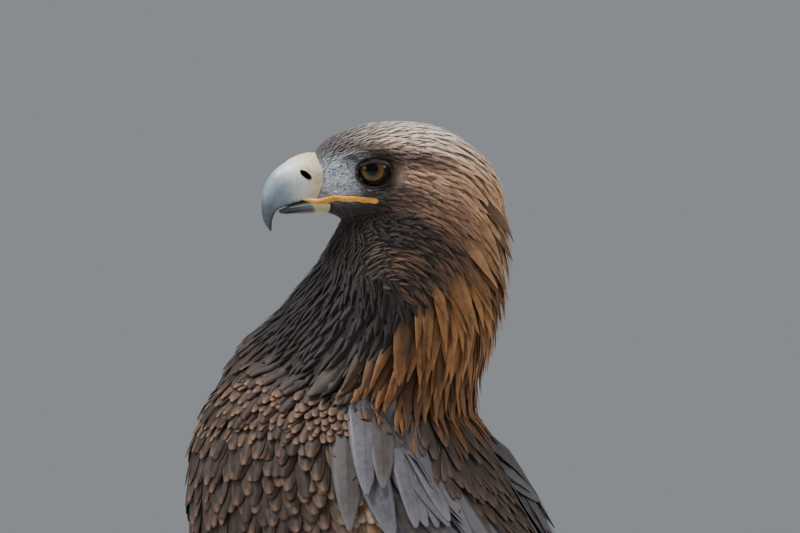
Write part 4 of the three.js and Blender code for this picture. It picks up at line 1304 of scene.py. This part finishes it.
bm = bmesh.new()
for hand in (1, -1):
    head_ball(bm, hand, 28, 18, nostril_place)
pits = new_object("nostril_pits", bm)
pierce = cere.modifiers.new("nostrils", "BOOLEAN")
pierce.object = pits
pierce.solver = "EXACT"
apply_modifiers(cere)
bpy.data.objects.remove(pits)
print("cere faces", len(cere.data.polygons))

# %% [markdown]
# The horn is pale blue-grey at the cere and turns to black at the tip of the hook. Fine growth
# lines run round it. The colour is worked out from how far each point is along the bill, which the
# mesh keeps as an attribute, so it stays in place whatever the camera does.

# %% Bill and cere finishes
def keep_share(made, name, values):
    """Keeps one number for each point of a mesh, for its material to read."""
    layer = made.data.attributes.new(name, "FLOAT", "POINT")
    layer.data.foreach_set("value", np.asarray(values, np.float32))


def past_cere(spots):
    s, c = sin_cos(CERE_SEAM["lean"])
    return (-spots[:, 1] - CERE_SEAM["forward"]) * c - (spots[:, 2] - CERE_SEAM["up"]) * s


def in_nostril(spots):
    """1 on the wall of a nostril, where the cere is painted dark as shade inside the hole."""
    s, c = sin_cos(NOSTRIL["tilt"])
    forward, up = -spots[:, 1] - NOSTRIL["forward"], spots[:, 2] - NOSTRIL["up"]
    along, over = -forward * c - up * s, -forward * s + up * c
    inward = (np.abs(spots[:, 0]) - NOSTRIL["side"]) / NOSTRIL["deep"]
    return np.hypot(np.hypot(along / NOSTRIL["long"], over / NOSTRIL["high"]), inward) < 1.03


for made, length in ((horn, 34.0), (lower, 14.0), (cere, 10.0)):
    spots = to_head(to_bird(mesh_arrays(made.data)[0]))
    keep_share(made, "reach", np.clip(past_cere(spots) / length, -1, 1))
# marks the nostril walls for painted shade
keep_share(cere, "painted_nostril_shade", in_nostril(spots))


def horn_material(name, near, middle, tip, start, end):
    """Three colours along the reach, which fade between 0 and start and between start and end."""
    made, tree, surface = material(name)
    place = place_in(tree)
    cloud = noise(place, 170.0, 4.0)
    reach = plus(share_in(tree, "reach"), times(minus(cloud, 0.5), 0.22))
    colour = blend(slope(reach, 0.0, start), near, middle)
    colour = blend(slope(reach, start, end), colour, tip)
    streak = put(tree, "TexWave", {"Vector": place, "Scale": 260.0, "Distortion": 3.0, "Detail": 2.0})["Fac"]
    colour = blend(times(streak, 0.1), colour, tip)
    rough = slope(cloud, 0.2, 0.8, 0.26, 0.42)
    cover(surface, {"Base Color": colour, "Roughness": rough}, streak, 0.12, 0.0002)
    return made


def waxy_material(name, colour, dark, height):
    made, tree, surface = material(name)
    grain = noise(place_in(tree), 420.0, 5.0)
    colour = blend(slope(grain, 0.45, 0.75), colour, dark)
    cover(surface, {"Base Color": colour, "Roughness": 0.42}, grain, height)
    return made


HORN_PALE = srgb(216, 220, 214)
horn.data.materials.append(
    horn_material("upper horn", HORN_PALE, srgb(128, 144, 158), srgb(34, 35, 38), 0.42, 0.9))
lower.data.materials.append(
    horn_material("lower horn", srgb(190, 176, 140), srgb(92, 96, 104), srgb(46, 46, 50), 0.2, 0.9))
cere_paint = waxy_material("cere", srgb(226, 216, 184), srgb(206, 186, 136), 0.15)
tree, colour = cere_paint.node_tree, surface_of(cere_paint)["Base Color"]
waxy = blend(slope(share_in(tree, "reach"), -0.5, 0.05), colour.links[0].from_socket, HORN_PALE)
# the nostril walls are painted nearly black as shade inside the holes
feed(colour, blend(share_in(tree, "painted_nostril_shade"), waxy, srgb(24, 18, 15)))
cere.data.materials.append(cere_paint)

# %% [markdown]
# A yellow fleshy rim runs along both edges of the mouth and meets in a round corner below the eye.
# Each side is one tube that follows the mouth back, turns round the corner and comes forward again.

# %% Lips
def tube(bm, path, radii, sides=12, closed=False):
    """A round tube through points: a circle per point, bridged to the next."""
    before, after = np.roll(path, 1, 0), np.roll(path, -1, 0)
    if not closed:
        before[0], after[-1] = path[0], path[-1]
    lie = unit(after - before)
    side = unit(np.cross(lie, (0.0, 0.0, 1.0)))
    over = np.cross(side, lie)
    turns = np.radians(np.arange(sides) * 360 / sides)
    bridge(bm, [spot + radius * (np.outer(np.cos(turns), a) + np.outer(np.sin(turns), b))
                for spot, a, b, radius in zip(path, side, over, radii)], closed)


LIP_PATH = np.array([
    (42.0, 11.2, -16.3), (37.5, 12.6, -16.7), (28, 20.4, -17.7), (17, 25.6, -18.4), (7.5, 28.2, -18.8),
    (5.4, 28.9, -19.6), (7.5, 28.3, -20.4), (17, 25.4, -20.1), (28, 19.8, -19.4), (37, 12.0, -18.3),
], float)  # forward, side, up
LIP_THICK = np.array([0.5, 1.0, 1.15, 1.05, 1.0, 1.1, 1.0, 0.85, 0.75, 0.4])
bm = bmesh.new()
shares = np.linspace(0, 1, 70)
forward, side, up = smooth_rows(LIP_PATH, shares).T
for hand in (1, -1):
    drawn_out = head_to_bird(ahead(forward, hand * side, up))
    spots, outs = settle(drawn_out)
    on_face = np.clip((34 - forward) / 6, 0, 1)[:, None]
    path = drawn_out * (1 - on_face) + (spots + outs * 0.5) * on_face
    tube(bm, path, smooth_rows(LIP_THICK[:, None], shares)[:, 0])
lips = new_object("lips", bm)
lips.data.materials.append(waxy_material("lip", srgb(232, 168, 60), srgb(206, 132, 40), 0.15))
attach(lips, "root")
print("lip faces", len(lips.data.polygons))

# %% [markdown]
# The eyeball is a ball with a slight bulge for the cornea. Its map has the gaze at its middle, so
# the pupil, iris and dark rim are rings of that map. A clear coat gives the wet highlight.

# %% Eyes
PUPIL, IRIS = 3.3, 6.5  # their radii
GAZE = 70  # degrees from straight ahead to the side that each eye looks
GAZE_MAP = 20.0  # the width of the eye's map


def eye_material():
    made, tree, surface = material("eye")
    centred = put(tree, "VectorMath", {0: map_in(tree, "gaze"), 1: (0.5, 0.5, 0)}, operation="SUBTRACT")[0]
    radius = times(put(tree, "VectorMath", {0: centred}, operation="LENGTH")["Value"], GAZE_MAP)
    rays = noise(put(tree, "VectorMath", {0: centred}, operation="NORMALIZE")[0], 9.0, 4.0)
    flecks = blend(slope(rays, 0.35, 0.7), srgb(128, 94, 48), srgb(84, 60, 34))
    colour = blend(slope(radius, PUPIL, IRIS), srgb(72, 52, 32), flecks)
    colour = blend(slope(radius, PUPIL - 0.15, PUPIL + 0.2), (0.002, 0.002, 0.002, 1), colour)
    colour = blend(slope(radius, IRIS - 0.7, IRIS), colour, srgb(30, 24, 20))
    colour = blend(slope(radius, IRIS, IRIS + 0.4), colour, srgb(36, 30, 28))
    cover(surface, {"Base Color": colour, "Roughness": 0.25, "Specular IOR Level": 0.02,
                    "Coat Weight": 0.4, "Coat Roughness": 0.02})
    return made


def eyeball(hand, label):
    bm = bmesh.new()
    bmesh.ops.create_uvsphere(bm, u_segments=64, v_segments=40, radius=1)
    angle = math.radians(GAZE)
    look = ahead(math.cos(angle), hand * math.sin(angle), 0)
    aside = unit(np.cross(look, (0, 0, 1.0)))
    unit_spots = np.array([v.co[:] for v in bm.verts])
    bulge = 1 + 0.05 * np.exp(-((1 - unit_spots[:, 2]) / 0.12) ** 2)
    spots = unit_spots @ np.stack([aside, np.cross(aside, look), look])
    spots = spots * (EYE["radius"] * bulge)[:, None] + ahead(EYE["forward"], hand * EYE["side"], 0)
    for vert, spot in zip(bm.verts, to_frame(head_to_bird(spots))):
        vert.co = spot
    gaze = bm.loops.layers.uv.new("gaze")
    for face in bm.faces:
        for corner in face.loops:
            x, y, z = unit_spots[corner.vert.index]
            far = EYE["radius"] / GAZE_MAP * (1.0 if z > 0 else 3.0)
            corner[gaze].uv = (0.5 + x * far, 0.5 + y * far)
    made = new_object(f"eyeball_{label}", bm)
    made.data.materials.append(eye_paint)
    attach(made, "root")
    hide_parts(f"eye_{label}")
    print(made.name, "faces", len(made.data.polygons))


eye_paint = eye_material()
for hand, label in HANDS:
    eyeball(hand, label)

# %% [markdown]
# The lids are a soft dark rim that hugs the eyeball. They follow the edge of the opening, which is
# flatter under the brow than below.

# %% Lids
bm = bmesh.new()
turns = np.radians(np.arange(56) * 360 / 56)
rise = np.sin(turns)
forward = OPENING["forward"] + 0.95 * OPENING["long"] * np.cos(turns)
up = OPENING["up"] + OPENING["high"] * np.where(rise > 0, 0.7, 0.97) * np.sign(rise) * np.abs(rise) ** 0.9
side = over_eye(ahead(forward, 0, up), EYE["radius"] + LID_GAP, 4.2)
for hand in (1, -1):
    tube(bm, head_to_bird(ahead(forward, hand * side, up)), 0.8 + 0.3 * np.maximum(0, rise), closed=True)
lids = new_object("lids", bm)
lids.data.materials.append(waxy_material("lid", srgb(52, 44, 40), srgb(30, 25, 23), 0.4))
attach(lids, "root")
print("lid faces", len(lids.data.polygons))

# %% [markdown]
# An eagle's foot has four thick toes with horny plates on top, soft pads below and long curved
# talons. Toes and palm are tubes melted together by a voxel remesh, as the skin was.

# %% Feet
TOES = {  # the way it points, its length, thickness at the root and end, and the length of its claw
    "inner": (34, 47, 9.2, 7.4, 36), "middle": (2, 66, 9, 6.8, 31),
    "outer": (-36, 50, 8.4, 6.3, 27), "hind": (172, 38, 9.4, 8, 43),
}
PALM = np.array([(0, 13.5), (8, 15.5), (17, 14.5), (25.6, 12.2)], float)  # up, half width
CLAW = [(0.24, 1.42), (0.5, 1.22), (0.68, 0.62), (0.74, 0.07)]  # shares of its length and thickness
PLATES = 11
TOE_OUT = 12  # degrees that the foot is turned out
FOOT_DEPTH = 0.3  # from the outer surface of the foot to the tubes
FOOT_VOXEL = 0.0009


def foot_to_bird(points, hand):
    """Mirrors a foot drawn on the left for the right side, turns it out and stands it in its place."""
    return points * (hand, 1, 1) @ rotation(hand * TOE_OUT, "z").T + ahead(2, hand * 56, 0)


def toe_frame(degrees):
    heading = ahead(math.cos(math.radians(degrees)), math.sin(math.radians(degrees)), 0)
    return heading, np.array([-heading[1], heading[0], 0])


def toe_point(row, hand, share, degrees):
    way, long, root, end, _ = row
    heading, across = toe_frame(way)
    s, c = sin_cos(degrees)
    plates = 0.42 * np.abs(np.cos(share * PLATES * math.pi)) * np.maximum(0, c)
    pads = 1 + 0.09 * math.cos(share * 6 * math.pi)
    blunt = 1 - 0.35 * max(0, share - 0.9) / 0.1
    thick = (root + (end - root) * share) * pads * blunt - FOOT_DEPTH + plates
    arch = 1.35 * math.sin(math.pi * min(1, share * 1.3))
    high = np.maximum(0.15, thick * 0.86 + arch + c * thick)
    return foot_to_bird(heading * long * share + np.outer(s * thick, across) + ahead(0, 0, high), hand)


def palm_point(hand, share, degrees):
    up, wide = smooth_rows(PALM, share)[0]
    s, c = sin_cos(degrees)
    return foot_to_bird(ahead(c * (wide - FOOT_DEPTH), s * (wide - FOOT_DEPTH), max(0.15, up)), hand)


def claw_point(row, hand, share, degrees):
    way, long, _, end, length = row
    heading, across = toe_frame(way)
    spots = np.array([(-3, 0.95)] + [(along * length, up) for along, up in CLAW]) * (1, end) + (long, 0.6)
    reach, up = smooth_rows(spots, share)[0]
    lie = way_of(spots, share, 0.01)[0]
    s, c = sin_cos(degrees)
    thick = end * 0.62 * (1 - share) ** 0.8 + 0.4
    out = heading * (reach - lie[1] * c * thick)[:, None] + np.outer(s * thick * 0.82, across)
    return foot_to_bird(out + ahead(0, 0, np.maximum(0.3, up + lie[0] * c * thick)), hand)


foot_paint = waxy_material("foot skin", srgb(216, 172, 66), srgb(176, 130, 50), 0.5)
claw_paint = horn_material("talon horn", srgb(46, 46, 50), srgb(26, 26, 29), srgb(14, 14, 16), 0.3, 0.8)
for hand, label in HANDS:
    foot_bm, claw_bm = bmesh.new(), bmesh.new()
    loft(foot_bm, lambda t, a: palm_point(hand, t, a), 28, 10)
    for row in TOES.values():
        loft(foot_bm, lambda t, a: toe_point(row, hand, t, a), 24, 66)
        loft(claw_bm, lambda t, a: claw_point(row, hand, t, a), 20, 26)
    foot = new_object(f"foot_skin_{label}", foot_bm)
    melt(foot, FOOT_VOXEL, 2)
    foot.data.materials.append(foot_paint)
    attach(foot, "root")
    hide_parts(f"foot_{label}")
    claws = new_object(f"talons_{label}", claw_bm)
    claws.data.materials.append(claw_paint)
    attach(claws, "root")
    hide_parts(*[f"talon_{label}_{toe}" for toe in TOES])
    print(label, "foot faces", len(foot.data.polygons))

# %% [markdown]
# The bird is lit as in a studio: a large soft light high on the side of the bill, a weaker one to
# fill the shadows, and one behind to draw the golden edge of the hackles. The floor is plain.

# %% Floor and light
bm = bmesh.new()
bmesh.ops.create_grid(bm, x_segments=1, y_segments=1, size=6)
floor = new_object("floor", bm)
floor_paint, tree, surface = material("pale floor")
pale = blend(noise(place_in(tree), 3.0), (0.72, 0.72, 0.71, 1), (0.78, 0.78, 0.77, 1))
cover(surface, {"Base Color": pale, "Roughness": 0.9})
floor.data.materials.append(floor_paint)

studio = bpy.data.worlds.new("studio")
studio.use_nodes = True
sky = studio.node_tree.nodes["Background"].inputs
sky["Color"].default_value = (0.80, 0.84, 0.90, 1)
sky["Strength"].default_value = 0.32
bpy.context.scene.world = studio

AIM = Vector((0, -0.03, 0.55))
LIGHTS = [  # where it stands, its size, power and colour
    ("overhead", (0.7, -0.9, 2.5), 1.1, 78, (1.0, 0.98, 0.95)),
    ("bill side", (1.7, -2.2, 1.6), 1.4, 26, (0.92, 0.96, 1.0)),
    ("behind", (-0.8, 2.4, 1.7), 1.2, 30, (1.0, 0.94, 0.86)),
]
for name, spot, size, power, colour in LIGHTS:
    light = bpy.data.lights.new(name, "AREA")
    light.size, light.energy, light.color = size, power, colour
    made = show(name, light)
    made.location = spot
    made.rotation_euler = (AIM - Vector(spot)).to_track_quat("-Z", "Y").to_euler()
print("lights:", len(LIGHTS))

# %% [markdown]
# The camera stands to the bird's left and a little behind it, level with its head. A long lens from
# three metres keeps the flat look of the photograph.

# %% Camera
LOOK = np.array([0.906, 0.423, 0])
DISTANCE = 3.0
target = to_frame([7.2, -15.6, 564.1])
lens = bpy.data.cameras.new("camera")
lens.lens = 245
lens.sensor_width = 36
camera = show("camera", lens)
camera.location = Vector(target + LOOK * DISTANCE)
camera.rotation_euler = Vector(LOOK).to_track_quat("Z", "Y").to_euler()
bpy.context.scene.camera = camera
print("the camera looks at", target.round(3))
